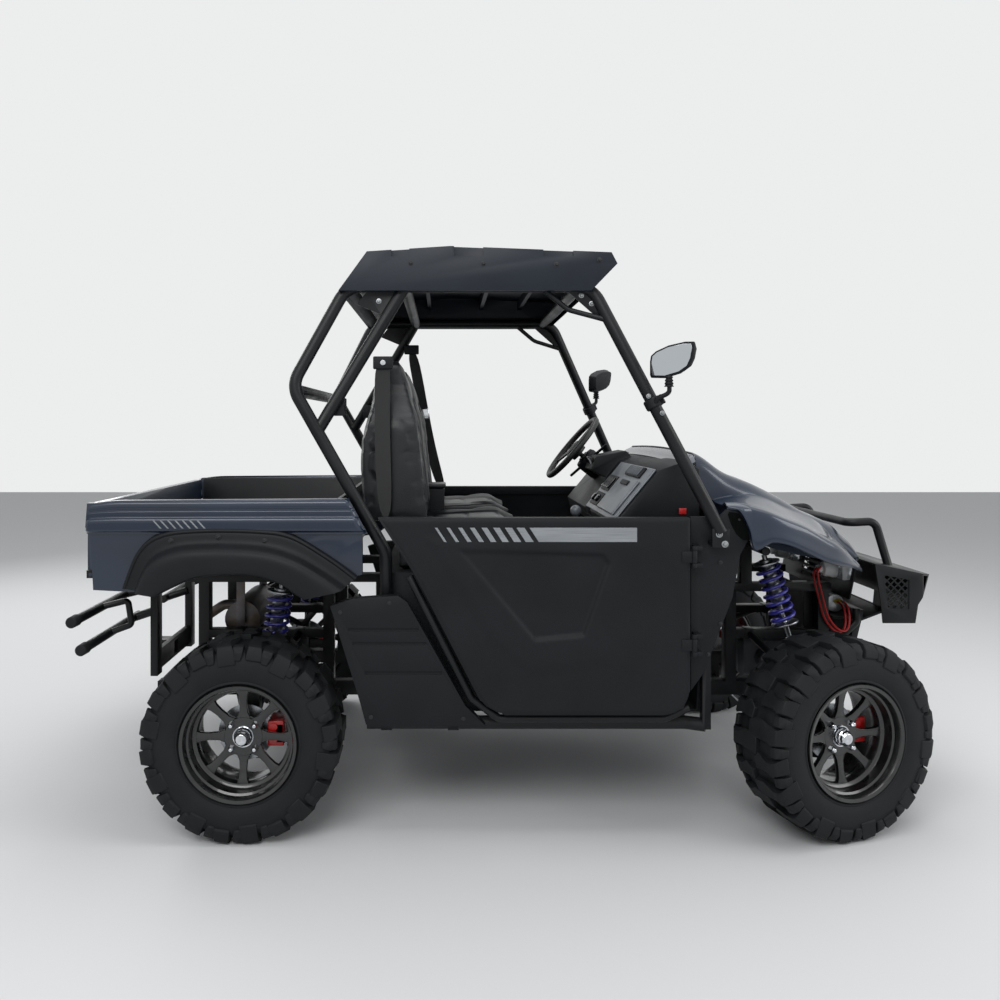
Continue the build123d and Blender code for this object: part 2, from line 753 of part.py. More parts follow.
def winch():
    """The winch on its tray: motor, drum with flanges and gear case."""
    pieces = []
    cylinders = [
        # from y, to y, radius
        (-150, -62, winch_radius),
        (-62, -56, winch_flange),
        (-56, 56, winch_drum),
        (56, 62, winch_flange),
        (62, 120, winch_radius),
    ]
    for y0, y1, radius in cylinders:
        pieces.append(rod((winch_x, y0, winch_z), (winch_x, y1, winch_z), radius))
    return fuse(*pieces)


def rear_bumper():
    """Paired cross tubes on square hoops, with the tow receiver."""
    pieces = []
    for side in (-1, 1):
        for x, z in ((-1482, 702), (-1451, 611)):
            pieces.append(rod((x, side * 150, z), (x, side * 690, z), 16))
            pieces.append(rod((x, side * 200, z), (-1360, side * 200, z + 30), 16))
        hoop_y = side * 450
        hoop = [(-1482, hoop_y, 702), (-1385, hoop_y, 726), (-1372, hoop_y, 640), (-1451, hoop_y, 611)]
        pieces.append(bent_tube(hoop, 11, 14))
    half = receiver_outside / 2
    inside = receiver_inside / 2
    uprights = []
    for side in (-1, 1):
        uprights.append(box(-1372, -1345 - seat_gap, side * 195, side * 250, 400, 760))
    for z0, z1 in ((415, 490), (705, 745)):
        uprights.append(box(-1370, -1350, -200, 200, z0, z1))
    receiver = box(-1440, -1350, -half, half, hitch_z - half, hitch_z + half)
    socket = box(-1460, -1340, -inside, inside, hitch_z - inside, hitch_z + inside)
    pin = rod((hitch_pin_x, -50, hitch_z), (hitch_pin_x, 50, hitch_z), hitch_pin_hole)
    return fuse(*uprights, receiver, *pieces) - socket - pin


def headlights():
    """The two lamps in the fascia's openings, one lens and housing each."""
    low = lamp_bottom_z + seat_gap
    high = lamp_top_z - seat_gap
    points = [(nose_x - 48, high), (nose_x + 3, high), (nose_x - 9, low), (nose_x - 48, low)]
    return both_sides(side_plate(points, -lamp_outer_y + seat_gap, -lamp_inner_y - seat_gap))


def mirrors():
    """The two mirrors on their stalks, turned towards the seats."""
    stalk = rod((433, -676, 1422), (472, -699, 1508), 7)
    head = Pos(495, -690, 1560) * Rot(0, 0, 40) * Box(36, 176, 116)
    head = chamfer(head.edges().filter_by(Axis.Z), 10)
    collar = rod(pillar_point(1436), pillar_point(1404), cage_tube + 7)
    pillar = rod(pillar_point(1450), pillar_point(1390), cage_tube + seat_gap)
    return both_sides(fuse(stalk, collar, head) - pillar)


def seat_belts():
    """The belt reels behind the seats, seated against the cage's second pillars."""
    pillar = rod(second_pillar_top, second_pillar_foot, cage_tube + seat_gap)
    return both_sides(box(-640, -600, -598, -530, 1380, 1440) - pillar)


def controls():
    """The gear lever and the two pedals."""
    foot_z = tunnel_top_z + 2 * seat_gap
    lever = rod((300, 60, foot_z), (280, 60, 985), 6) + Pos(280, 60, 995) * Sphere(22)
    pedals = []
    for y, width in ((230, 60), (405, 50)):
        pad = Pos(550, y, 600) * Rot(0, -15, 0) * Box(10, width, 80)
        pedals.append(pad + rod((552, y, 620), (589.3, y, 780), 7))
    return group(lever, *pedals)


def bed_tub():
    """The steel cargo box without its gate: ribbed floor, three walls, pivot lugs and gate ears."""
    outer = box(bed_rear_x, bed_front_x, -bed_tub_y, bed_tub_y, bed_floor_z, bed_top_z - 12)
    inside_y = bed_tub_y - bed_wall
    inner = box(bed_rear_x - 1, bed_front_x - bed_wall, -inside_y, inside_y, bed_floor_z + 12, bed_top_z)
    pieces = [outer - inner]
    rib_x = (bed_rear_x + 20, bed_front_x - bed_wall - 20)
    for y in range(-540, 541, 120):
        pieces.append(box(*rib_x, y - 14, y + 14, bed_floor_z - 6, bed_floor_z + 1))
    for side in (-1, 1):
        y0 = side * (rail_outer_y + swing_gap)
        y1 = side * (rail_outer_y + swing_gap + 12)
        lug = box(bed_pivot_x - 22, bed_pivot_x + 22, y0, y1, bed_pivot_z - 20, bed_floor_z + 1)
        bore_ends = [(bed_pivot_x, side * (rail_outer_y + y), bed_pivot_z) for y in (0, 30)]
        pieces.append(lug - rod(*bore_ends, bed_pin + running_gap))
        x = tailgate_hinge_x
        z = tailgate_hinge_z
        pieces.append(box(x - 12, bed_rear_x + 20, side * (bed_tub_y - 12), side * bed_tub_y, z - 12, z + 14))
    bore_ends = [(tailgate_hinge_x, y, tailgate_hinge_z) for y in (-bed_skin_y, bed_skin_y)]
    return fuse(*pieces) - rod(*bore_ends, tailgate_pin + running_gap)


def bed_sides():
    """The painted side skins of the bed, with a raised band along the top."""
    points = [(-1431, bed_top_z - 13), (-588, bed_top_z), (-531, 1005), (-531, 858)]
    points += [(-600, 840), (-714, 787), (-722, 797), (-818, 854), (-1057, 864)]
    points += [(-1220, 800), (-1293, 801), (-1414, 807)]
    skin = side_plate(points, -bed_skin_y, -bed_half_width)
    band_points = [(-1431, bed_top_z - 13), (-588, bed_top_z), (-560, 1055), (-1437, 1012)]
    band = side_plate(band_points, 1 - bed_half_width, -bed_half_width - 8)
    flange = box(bed_rear_x + 10, bed_front_x - 10, -bed_tub_y - seat_gap, -bed_skin_y - 1, 1060, 1075)
    return both_sides(fuse(skin, band, flange))


def flare_face(points, y):
    """A flare outline standing at one width."""
    return Plane((0, y, 0), x_dir=(1, 0, 0), z_dir=(0, 1, 0)) * outline(points)


def bed_flares():
    """The wheel arch flares, sloping out from the bed sides to a wide lip."""
    edge = [(-714, 787), (-818, 854), (-1057, 864), (-1190, 797)]
    root = [(-1312, 815), (-1188, 990), (-1050, 1005), (-765, 1000), (-640, 925), (-545, 850)]
    lip = [(-1255, 797), (-1201, 918), (-1041, 956), (-818, 944), (-665, 886), (-590, 815)]
    y = -bed_half_width - seat_gap
    body = loft([flare_face(root + edge, y), flare_face(lip + edge, -flare_y)], ruled=True)
    return both_sides(body)


def tailgate():
    """The drop-down gate with its hinge pins and a pressed panel."""
    x = tailgate_hinge_x
    half = tailgate_thickness / 2
    width = bed_tub_y - 18
    panel = box(x - half, x + half, -width, width, tailgate_hinge_z - 12, bed_top_z - 20)
    press = box(x - half - 5, x - half + 8, -480, 480, tailgate_hinge_z + 60, bed_top_z - 70)
    pins = rod((x, -bed_tub_y, tailgate_hinge_z), (x, bed_tub_y, tailgate_hinge_z), tailgate_pin)
    return panel - press + pins


def door_right():
    """The moulded right-hand door, with its pressed pocket and hinge barrels."""
    bottom = door_bottom_z
    points = [(-476, door_top_z), (door_front_x, door_top_z), (door_front_x, 494), (508, 436), (450, bottom)]
    points += [(-66, bottom), (-147, 462), (-356, 865)]
    panel = side_plate(points, -door_y + door_thickness, -door_y)
    pocket = [(-224, 950), (252, 937), (275, 905), (191, 666), (27, 650)]
    inside = [(-380, 1010), (490, 1010), (490, 500), (430, 455), (-60, 455), (-120, 500), (-300, 850)]
    panel = panel - side_plate(pocket, -door_y - 5, -door_y + 9, 22)
    panel = panel - side_plate(inside, -door_y + door_thickness - 10, -door_y + door_thickness + 5, 12)
    barrels = []
    for z in door_hinge_levels:
        place = Pos(door_hinge_x, -door_hinge_y, z)
        barrel = place * (Cylinder(hinge_barrel, 40) - Cylinder(hinge_pin + running_gap, 50))
        leaf = box(door_hinge_x - 40, door_hinge_x - 8, 1 - door_y, -door_y - 4, z - 18, z + 18)
        barrels.append(barrel + leaf)
    return fuse(panel, *barrels)


def door_left():
    """The moulded left-hand door."""
    return left(door_right())


def steer_pose(shape, side):
    """Turns a front wheel piece to the steered rest position about its kingpin."""
    pivot = Pos(front_axle_x, side * kingpin_y, 0)
    return pivot * Rot(0, 0, steer_rest) * pivot.inverse() * shape


def knuckle(side):
    """The steering upright with kingpin, steering arm, caliper and spindle."""
    x = front_axle_x
    y = side * kingpin_y
    arm_end = y - side * steering_arm_inset
    arm_z = axle_z - 30
    reach = ball_joint_rise - 22
    post = rod((x, y, axle_z - ball_joint_rise - 15), (x, y, axle_z + ball_joint_rise + 15), kingpin_radius)
    body = rod((x, y, axle_z - reach), (x, y, axle_z + reach), 19)
    arm = rod((x, y, arm_z), (x - steering_arm, arm_end, arm_z), 10)
    eye = Pos(x - steering_arm, arm_end, arm_z) * Cylinder(16, 24)
    carrier = rod((x, y - side * 20, axle_z), (x, y + side * 24, axle_z), 34)
    caliper = box(x + 76, x + 120, y + side * 8, y + side * 34, axle_z - 38, axle_z + 38)
    bridge = box(x + 10, x + 100, y, y + side * 12, axle_z - 16, axle_z + 16)
    spindle = rod((x, y + side * 20, axle_z), (x, side * (lug_plane_y + 4), axle_z), spindle_radius)
    return fuse(post, body, arm, eye, carrier, caliper, bridge, spindle)


def steering_rack():
    """The rack bar with its tie rods, just below the steering arms' eyes."""
    shift = -steering_arm * sin(radians(steer_rest))
    reach = kingpin_y - steering_arm_inset
    return rod((rack_x, shift - reach, rack_z), (rack_x, shift + reach, rack_z), rack_radius)


def tyre(x, y, width):
    """A knobbly tyre: a carcass with one flat per lug, and staggered lugs that wrap both shoulders."""
    half = width / 2
    turn = Rot(0, 0, 180 / lug_count)
    side = [(half - 20, bead_radius + 2), (half - 2, 232), (half - 8, 288), (half - 34, carcass_radius)]
    rings = []
    for offset, radius in side + [(-offset, radius) for offset, radius in reversed(side)]:
        rings.append(Plane((0, 0, offset)) * turn * RegularPolygon(radius, lug_count))
    bead = turn * RegularPolygon(bead_radius, lug_count, major_radius=False)
    body = loft(rings, ruled=True) - extrude(bead, amount=half, both=True)
    # radius and distance from the tyre's middle, along a lug from its inner foot to its outer foot
    points = [
        (carcass_radius - 12, 6),
        (tyre_radius - 0.4, 6),
        (tyre_radius - 2, half - 20),
        (286, half),
        (280, half - 12),
    ]
    face = make_face(Polyline(*points, close=True))
    lug = extrude(Plane((0, 0, 0), x_dir=(1, 0, 0), z_dir=(0, -1, 0)) * face, amount=lug_width / 2, both=True)
    other = mirror(lug, about=Plane.XY)
    pitch = 360 / lug_count
    lugs = []
    for index in range(lug_count):
        lugs.append(Rot(0, 0, pitch * index) * lug)
        lugs.append(Rot(0, 0, pitch * (index + 0.5)) * other)
    return Pos(x, y, axle_z) * Rot(90, 0, 0) * body.fuse(*lugs)


def rim(x, y, width):
    """A deep-dish wheel: barrel, lips, slim spokes, hub with centre cap, and the brake disc behind it."""
    half = width / 2
    outboard = 1 if y > 0 else -1
    face = lug_plane_y - abs(y)
    lip_z = half - 9
    barrel = Cylinder(bead_radius - seat_gap, 2 * lip_z) - Cylinder(bead_radius - rim_wall, width)
    lip = Cylinder(rim_radius, 8) - Cylinder(bead_radius - rim_wall, 9)
    hub = Pos(0, 0, face) * Cylinder(hub_radius, hub_thickness)
    hub = hub + Pos(0, 0, face - 30) * Cylinder(34, 50) - Cylinder(spindle_radius + running_gap, width)
    cap = Pos(0, 0, face + 26) * (Cylinder(cap_radius, 34) - Pos(0, 0, -4) * Cylinder(cap_radius - 6, 30))
    disc = Pos(0, 0, face - 52) * (Cylinder(disc_radius, 6) - Cylinder(30, 8))
    spokes = []
    for index in range(spoke_count):
        inner = Plane((hub_radius - 8, 0, face - 2), x_dir=(0, 1, 0), z_dir=(1, 0, 0)) * Rectangle(30, 16)
        outer = Plane((bead_radius - 4, 0, face + 22), x_dir=(0, 1, 0), z_dir=(1, 0, 0)) * Rectangle(20, 16)
        spokes.append(Rot(0, 0, 360 / spoke_count * index) * loft([inner, outer]))
    whole = fuse(barrel, Pos(0, 0, lip_z) * lip, Pos(0, 0, -lip_z) * lip, hub, cap, disc, *spokes)
    return Pos(x, y, axle_z) * Rot(-90 * outboard, 0, 0) * whole


front_x = front_axle_x
nodes = {
    "frame": frame,
    "sill_tubes": sill_tubes,
    "spring_bridges": spring_bridges,
    "roll_cage": roll_cage,
    "roof": roof,
    "hood": hood,
    "front_fenders": front_fenders,
    "front_fascia": front_fascia,
    "kick_panels": kick_panels,
    "door_frames": door_frames,
    "quarter_panels": quarter_panels,
    "floor_tub": floor_tub,
    "dash": dash,
    "steering_column": steering_column,
    "steering_wheel": steering_wheel,
    "seat_base": seat_base,
    "seat_cushions": seat_cushions,
    "seat_backs": seat_backs,
    "engine": engine,
    "muffler": muffler,
    "drivetrain": drivetrain,
    "front_arms": front_arms,
    "rear_arms": rear_arms,
    "dampers": dampers,
    "springs": springs,
    "radiator": radiator,
    "front_bumper": front_bumper,
    "winch": winch,
    "rear_bumper": rear_bumper,
    "headlights": headlights,
    "mirrors": mirrors,
    "seat_belts": seat_belts,
    "controls": controls,
    "bed_tub": bed_tub,
    "bed_sides": bed_sides,
    "bed_flares": bed_flares,
    "tailgate": tailgate,
    "door_right": door_right,
    "door_left": door_left,
    "steering_rack": steering_rack,
    "knuckle_right": lambda: steer_pose(knuckle(-1), -1),
    "knuckle_left": lambda: steer_pose(knuckle(1), 1),
    "tyre_rear_right": lambda: tyre(rear_axle_x, -rear_wheel_y, rear_tyre_width),
    "tyre_rear_left": lambda: tyre(rear_axle_x, rear_wheel_y, rear_tyre_width),
    "tyre_front_right": lambda: steer_pose(tyre(front_x, -front_wheel_y, front_tyre_width), -1),
    "tyre_front_left": lambda: steer_pose(tyre(front_x, front_wheel_y, front_tyre_width), 1),
    "rim_rear_right": lambda: rim(rear_axle_x, -rear_wheel_y, rear_tyre_width),
    "rim_rear_left": lambda: rim(rear_axle_x, rear_wheel_y, rear_tyre_width),
    "rim_front_right": lambda: steer_pose(rim(front_x, -front_wheel_y, front_tyre_width), -1),
    "rim_front_left": lambda: steer_pose(rim(front_x, front_wheel_y, front_tyre_width), 1),
}

os.makedirs("parts", exist_ok=True)
for name, make in nodes.items():
    export_step(make(), f"parts/{name}.step")
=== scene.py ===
"""A two-seat side-by-side utility vehicle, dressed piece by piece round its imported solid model.

Everything is in metres, with +X forward, +Y to the vehicle's left and +Z up, and the origin on the
ground.  The sections follow the vehicle as it is put together, from the chassis to the mirrors.
"""

import json
import math

import bpy
from mathutils import Matrix, Vector

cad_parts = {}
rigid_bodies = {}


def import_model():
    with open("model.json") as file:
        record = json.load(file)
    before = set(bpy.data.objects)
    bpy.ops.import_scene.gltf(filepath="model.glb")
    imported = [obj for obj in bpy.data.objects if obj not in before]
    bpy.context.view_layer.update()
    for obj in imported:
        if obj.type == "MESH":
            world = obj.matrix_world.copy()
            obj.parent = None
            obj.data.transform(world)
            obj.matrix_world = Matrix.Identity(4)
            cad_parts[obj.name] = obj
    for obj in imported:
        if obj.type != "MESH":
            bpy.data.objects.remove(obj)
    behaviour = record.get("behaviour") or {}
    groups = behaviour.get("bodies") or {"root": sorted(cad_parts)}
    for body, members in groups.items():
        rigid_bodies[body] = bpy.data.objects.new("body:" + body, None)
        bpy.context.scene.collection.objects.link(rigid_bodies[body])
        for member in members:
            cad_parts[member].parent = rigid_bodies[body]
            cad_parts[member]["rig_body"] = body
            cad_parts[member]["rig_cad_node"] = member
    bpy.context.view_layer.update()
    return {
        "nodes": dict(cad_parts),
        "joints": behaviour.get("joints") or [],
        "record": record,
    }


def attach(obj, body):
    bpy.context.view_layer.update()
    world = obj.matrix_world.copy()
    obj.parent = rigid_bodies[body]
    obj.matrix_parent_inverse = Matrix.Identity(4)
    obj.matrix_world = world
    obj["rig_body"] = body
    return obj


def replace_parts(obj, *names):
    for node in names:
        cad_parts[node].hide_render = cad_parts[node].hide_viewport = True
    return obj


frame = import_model()

# ---- Chassis -------------------------------------------------------------------------------------
# The welded chassis of square steel tube with its outer sill tubes and spring bridges.  It is shot
# blasted and powder coated satin black, which leaves a fine orange peel.  All else bolts to it.

bodies = frame["record"]["behaviour"]["bodies"]
body_of_node = {node: body for body, members in bodies.items() for node in members}
weld_gap = 0.00002
flat_turn = math.radians(0.4)


def to_linear(hex_colour):
    """The linear red, green, blue and alpha of an sRGB hex colour."""
    values = [int(hex_colour[start : start + 2], 16) / 255 for start in (1, 3, 5)]
    return [v / 12.92 if v <= 0.04045 else ((v + 0.055) / 1.055) ** 2.4 for v in values] + [1.0]


def add_node(tree, kind, inputs, **settings):
    """Adds a shader node with its settings and its inputs."""
    node = tree.nodes.new(kind)
    for name, value in settings.items():
        setattr(node, name, value)
    connect(tree, node, inputs)
    return node


def connect(tree, node, inputs):
    """Sets or links a node's inputs: each is a value, an output, or a node whose first output is meant."""
    for name, value in inputs.items():
        if isinstance(value, bpy.types.Node):
            value = value.outputs[0]
        if isinstance(value, bpy.types.NodeSocket):
            tree.links.new(value, node.inputs[name])
        else:
            node.inputs[name].default_value = value


def new_finish(name):
    """A new material: the material, its node tree, its principled shader and the object coordinates."""
    finish = bpy.data.materials.new(name)
    finish.use_nodes = True
    tree = finish.node_tree
    place = add_node(tree, "ShaderNodeTexCoord", {}).outputs["Object"]
    return finish, tree, tree.nodes["Principled BSDF"], place


def between(tree, amount, low, high):
    """Maps a pattern from 0.3..0.7 onto a range of values."""
    inputs = {"Value": amount, "From Min": 0.3, "From Max": 0.7, "To Min": low, "To Max": high}
    return add_node(tree, "ShaderNodeMapRange", inputs)


def blend_colours(tree, amount, first, second):
    """Mixes two hex colours by a pattern from 0 to 1."""
    ramp = add_node(tree, "ShaderNodeValToRGB", {"Fac": amount})
    ramp.color_ramp.elements[0].position = 0.35
    ramp.color_ramp.elements[0].color = to_linear(first)
    ramp.color_ramp.elements[1].position = 0.65
    ramp.color_ramp.elements[1].color = to_linear(second)
    return ramp


def powder_coat():
    """Polyester powder, baked on: satin black, with orange peel 2 mm across, drawn at 4 mm to show."""
    finish, tree, shader, place = new_finish("powder_coated_steel")
    peel = add_node(tree, "ShaderNodeTexNoise", {"Vector": place, "Scale": 250.0, "Detail": 2.0})
    handling = add_node(tree, "ShaderNodeTexNoise", {"Vector": place, "Scale": 9.0, "Detail": 5.0})
    bump = add_node(tree, "ShaderNodeBump", {"Height": peel, "Strength": 0.25, "Distance": 0.0006})
    connect(tree, shader, {
        "Base Color": blend_colours(tree, handling, "#0b0d0f", "#131518"),
        "Roughness": between(tree, handling, 0.34, 0.5),
        "Specular IOR Level": 0.3,
        "Normal": bump,
        "IOR": 1.5,
    })
    return finish


def only(*things):
    """Selects just these objects, the first of them active."""
    bpy.ops.object.select_all(action="DESELECT")
    for thing in things:
        thing.select_set(True)
    bpy.context.view_layer.objects.active = things[0]


def apply_modifier(piece, kind, **settings):
    """Adds a modifier to a piece, sets it and applies it."""
    only(piece)
    modifier = piece.modifiers.new(kind.lower(), kind)
    for name, value in settings.items():
        setattr(modifier, name, value)
    bpy.ops.object.modifier_apply(modifier=modifier.name)


def smooth(piece, degrees=35):
    """Shades a piece smooth, but for the edges sharper than an angle."""
    only(piece)
    bpy.ops.object.shade_smooth_by_angle(angle=math.radians(degrees))


def finish_piece(piece, finish, body):
    """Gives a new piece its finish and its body."""
    piece.data.materials.clear()
    piece.data.materials.append(finish)
    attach(piece, body)
    return piece


def dress(node, finish, edge=0.0015, crease=35):
    """Shows a solid with its seams merged, its edges rounded and its faces shaded smooth."""
    piece = frame["nodes"][node].copy()
    piece.data = piece.data.copy()
    piece.name = node + "_skin"
    piece.parent = None
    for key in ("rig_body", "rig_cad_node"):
        del piece[key]
    bpy.context.scene.collection.objects.link(piece)
    only(piece)
    bpy.ops.object.mode_set(mode="EDIT")
    bpy.ops.mesh.select_all(action="SELECT")
    bpy.ops.mesh.customdata_custom_splitnormals_clear()
    bpy.ops.mesh.remove_doubles(threshold=weld_gap)
    bpy.ops.mesh.dissolve_limited(angle_limit=flat_turn)
    bpy.ops.object.mode_set(mode="OBJECT")
    if edge:
        angle = math.radians(crease)
        apply_modifier(piece, "BEVEL", width=edge, segments=2, limit_method="ANGLE", angle_limit=angle)
    smooth(piece, crease)
    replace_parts(piece, node)
    return finish_piece(piece, finish, body_of_node[node])


black_coat = powder_coat()
for node in ("frame", "sill_tubes", "spring_bridges"):
    dress(node, black_coat)

# ---- Suspension ----------------------------------------------------------------------------------
# Welded wishbones in the chassis's powder coat, cast steering knuckles and coil springs painted
# blue-violet over gas dampers with ground rods.


def cast_iron_paint():
    """Ductile iron, sand cast and painted: dull black over a coarse skin of 1 mm grit, drawn at 2.5 mm."""
    finish, tree, shader, place = new_finish("painted_cast_iron")
    grit = add_node(tree, "ShaderNodeTexNoise", {"Vector": place, "Scale": 420.0, "Detail": 4.0})
    bump = add_node(tree, "ShaderNodeBump", {"Height": grit, "Strength": 0.5, "Distance": 0.0008})
    connect(tree, shader, {
        "Base Color": blend_colours(tree, grit, "#0e0f11", "#1a1c1f"),
        "Roughness": between(tree, grit, 0.5, 0.7),
        "Normal": bump,
    })
    return finish


def spring_paint():
    """Epoxy paint on spring wire: a deep blue-violet with a wet gloss."""
    finish, tree, shader, place = new_finish("blue_violet_spring_paint")
    runs = add_node(tree, "ShaderNodeTexNoise", {"Vector": place, "Scale": 60.0, "Detail": 3.0})
    connect(tree, shader, {
        "Base Color": blend_colours(tree, runs, "#2a2880", "#35359c"),
        "Roughness": between(tree, runs, 0.25, 0.4),
        "Coat Weight": 0.4,
        "Coat Roughness": 0.12,
    })
    return finish


def ground_steel():
    """Steel ground round and hard chromed: bright, with grinding marks 0.5 mm long, drawn at 2 mm."""
    finish, tree, shader, place = new_finish("ground_steel")
    marks = add_node(tree, "ShaderNodeTexNoise", {"Vector": place, "Scale": 500.0, "Detail": 2.0})
    connect(tree, shader, {
        "Base Color": blend_colours(tree, marks, "#8d9094", "#a4a7ab"),
        "Metallic": 1.0,
        "Roughness": between(tree, marks, 0.24, 0.4),
    })
    return finish


black_iron = cast_iron_paint()
bright_steel = ground_steel()
for node in ("front_arms", "rear_arms"):
    dress(node, black_coat)
for node in ("knuckle_right", "knuckle_left"):
    dress(node, black_iron)
dress("dampers", bright_steel, edge=0.001)
dress("springs", spring_paint(), edge=0, crease=70)
dress("steering_rack", bright_steel, edge=0.001)

# ---- Engine and driveline ------------------------------------------------------------------------
# The engine and gearbox under the seats, the final drives with their half shafts, the silencer and
# the radiator.  Rough cast aluminium, and steel that the heat has dulled.


def cast_aluminium():
    """Aluminium, sand cast and shot blasted: a grey, even, coarse skin of 1 mm grit, drawn at 2 mm."""
    finish, tree, shader, place = new_finish("cast_aluminium")
    grit = add_node(tree, "ShaderNodeTexNoise", {"Vector": place, "Scale": 500.0, "Detail": 3.0})
    stain = add_node(tree, "ShaderNodeTexNoise", {"Vector": place, "Scale": 14.0, "Detail": 6.0})
    bump = add_node(tree, "ShaderNodeBump", {"Height": grit, "Strength": 0.6, "Distance": 0.0006})
    connect(tree, shader, {
        "Base Color": blend_colours(tree, stain, "#4a4c50", "#63666a"),
        "Metallic": 0.9,
        "Roughness": between(tree, stain, 0.5, 0.65),
        "Normal": bump,
    })
    return finish


def heated_steel():
    """Aluminised exhaust steel: matt grey with brown heat stains some 60 mm across."""
    finish, tree, shader, place = new_finish("heated_exhaust_steel")
    stain = add_node(tree, "ShaderNodeTexNoise", {"Vector": place, "Scale": 16.0, "Detail": 7.0})
    connect(tree, shader, {
        "Base Color": blend_colours(tree, stain, "#5b5147", "#77767a"),
        "Metallic": 1.0,
        "Roughness": between(tree, stain, 0.42, 0.62),
    })
    return finish


def radiator_core():
    """Black-painted aluminium fins, 2.5 mm apart and drawn at 5 mm, standing across the tubes, with a painted
    highlight on each fin and painted shade between them.
    """
    finish, tree, shader, place = new_finish("radiator_fins")
    settings = {"wave_type": "BANDS", "bands_direction": "Y"}
    fins = add_node(tree, "ShaderNodeTexWave", {"Vector": place, "Scale": 60.0}, **settings).outputs["Fac"]
    bump = add_node(tree, "ShaderNodeBump", {"Height": fins, "Strength": 0.8, "Distance": 0.002})
    connect(tree, shader, {
        # painted highlight on the fins and painted shade in the gaps between them
        "Base Color": blend_colours(tree, fins, "#0e0f10", "#2b2d30"),
        "Metallic": 0.6,
        "Roughness": 0.5,
        "Normal": bump,
    })
    return finish


grey_casting = cast_aluminium()
for node in ("engine", "drivetrain"):
    dress(node, grey_casting, edge=0.004)
dress("muffler", heated_steel(), edge=0.006)
dress("radiator", radiator_core())

# ---- Wheels --------------------------------------------------------------------------------------
# Deep-dish cast alloy rims in gloss black, held by four chromed nuts, with knobbly tubeless tyres.
# Each is modelled round the origin with its outer face towards -Y, then set on its own axle.

wheel_sides = ("right", "left")
joint_of = {joint["name"]: joint for joint in frame["joints"]}
half_width_of = {"rear": 0.130, "front": 0.115}
lug_plane = 0.668
wheel_middle_of = {"rear": 0.640, "front": 0.650}
lug_count = 20
tread_radius = 0.3236
carcass_radius = 0.309
nut_circle = 0.055
nut_count = 4
spoke_count = 8
spoke_root = 0.058
spoke_foot = (0.004, 0.018, 0.044)
spoke_steps = [
    # length, drop and taper of each step, from the hub to the rim
    (0.020, -0.001, 0.62),
    (0.030, -0.004, 0.86),
    (0.026, -0.005, 1.2),
    (0.018, -0.003, 1.5),
]
disc_depth = 0.030
spots_a_ring = 18
spot_rings = [
    # radius, angle of the first spot in radians
    (0.066, 0.594),
    (0.082, 0.738),
]
caliper_reach = 0.077
mirrored = Matrix.Scale(-1, 4, (0, 1, 0))


def tyre_rubber():
    """Carbon-black rubber, moulded: matt, slightly blue-grey, with a 1 mm skin texture drawn at 3 mm."""
    finish, tree, shader, place = new_finish("tyre_rubber")
    skin = add_node(tree, "ShaderNodeTexNoise", {"Vector": place, "Scale": 330.0, "Detail": 3.0})
    dust = add_node(tree, "ShaderNodeTexNoise", {"Vector": place, "Scale": 12.0, "Detail": 5.0})
    bump = add_node(tree, "ShaderNodeBump", {"Height": skin, "Strength": 0.3, "Distance": 0.0008})
    connect(tree, shader, {
        "Base Color": blend_colours(tree, dust, "#0e1012", "#191b1d"),
        "Roughness": between(tree, dust, 0.6, 0.78),
        "Specular IOR Level": 0.25,
        "Normal": bump,
        "IOR": 1.52,
    })
    return finish


def gloss_rim_paint():
    """Black stoving enamel under lacquer on cast alloy: wet gloss over a faint casting ripple."""
    finish, tree, shader, place = new_finish("gloss_black_rim_enamel")
    film = add_node(tree, "ShaderNodeTexNoise", {"Vector": place, "Scale": 40.0, "Detail": 3.0})
    connect(tree, shader, {
        "Base Color": blend_colours(tree, film, "#08090a", "#0e0f10"),
        "Roughness": between(tree, film, 0.25, 0.38),
        "Coat Weight": 0.6,
        "Coat Roughness": 0.08,
    })
    return finish


def chrome_plate():
    """Bright nickel and chrome on steel: a mirror with a faint polish haze."""
    finish, tree, shader, place = new_finish("chrome_plated_steel")
    haze = add_node(tree, "ShaderNodeTexNoise", {"Vector": place, "Scale": 90.0, "Detail": 2.0})
    connect(tree, shader, {
        "Base Color": blend_colours(tree, haze, "#c2c5c9", "#d8dadd"),
        "Metallic": 1.0,
        "Roughness": between(tree, haze, 0.08, 0.18),
    })
    return finish


def caliper_red():
    """Heat-proof red enamel on cast iron: glossy, over a coarse cast skin 1 mm across, drawn at 3 mm."""
    finish, tree, shader, place = new_finish("red_caliper_enamel")
    grit = add_node(tree, "ShaderNodeTexNoise", {"Vector": place, "Scale": 300.0, "Detail": 2.0})
    bump = add_node(tree, "ShaderNodeBump", {"Height": grit, "Strength": 0.3, "Distance": 0.0006})
    connect(tree, shader, {
        "Base Color": blend_colours(tree, grit, "#a81414", "#c31d1b"),
        "Roughness": between(tree, grit, 0.3, 0.45),
        "Coat Weight": 0.3,
        "Normal": bump,
    })
    return finish


def primitive(name, add, **settings):
    """One of Blender's primitives, added at the origin with all else deselected."""
    bpy.ops.object.select_all(action="DESELECT")
    add(location=(0, 0, 0), **settings)
    piece = bpy.context.object
    piece.name = name
    return piece


def draw(name, points):
    """Starts a piece as one corner and extrudes it from point to point; the piece stays in edit mode."""
    piece = primitive(name, bpy.ops.mesh.primitive_plane_add, size=0.001)
    bpy.context.tool_settings.mesh_select_mode = (True, False, False)
    bpy.ops.object.mode_set(mode="EDIT")
    bpy.ops.mesh.merge(type="CENTER")
    bpy.ops.transform.translate(value=points[0])
    for start, end in zip(points, points[1:]):
        step = [b - a for a, b in zip(start, end)]
        bpy.ops.mesh.extrude_region_move(TRANSFORM_OT_translate={"value": step})
    return piece


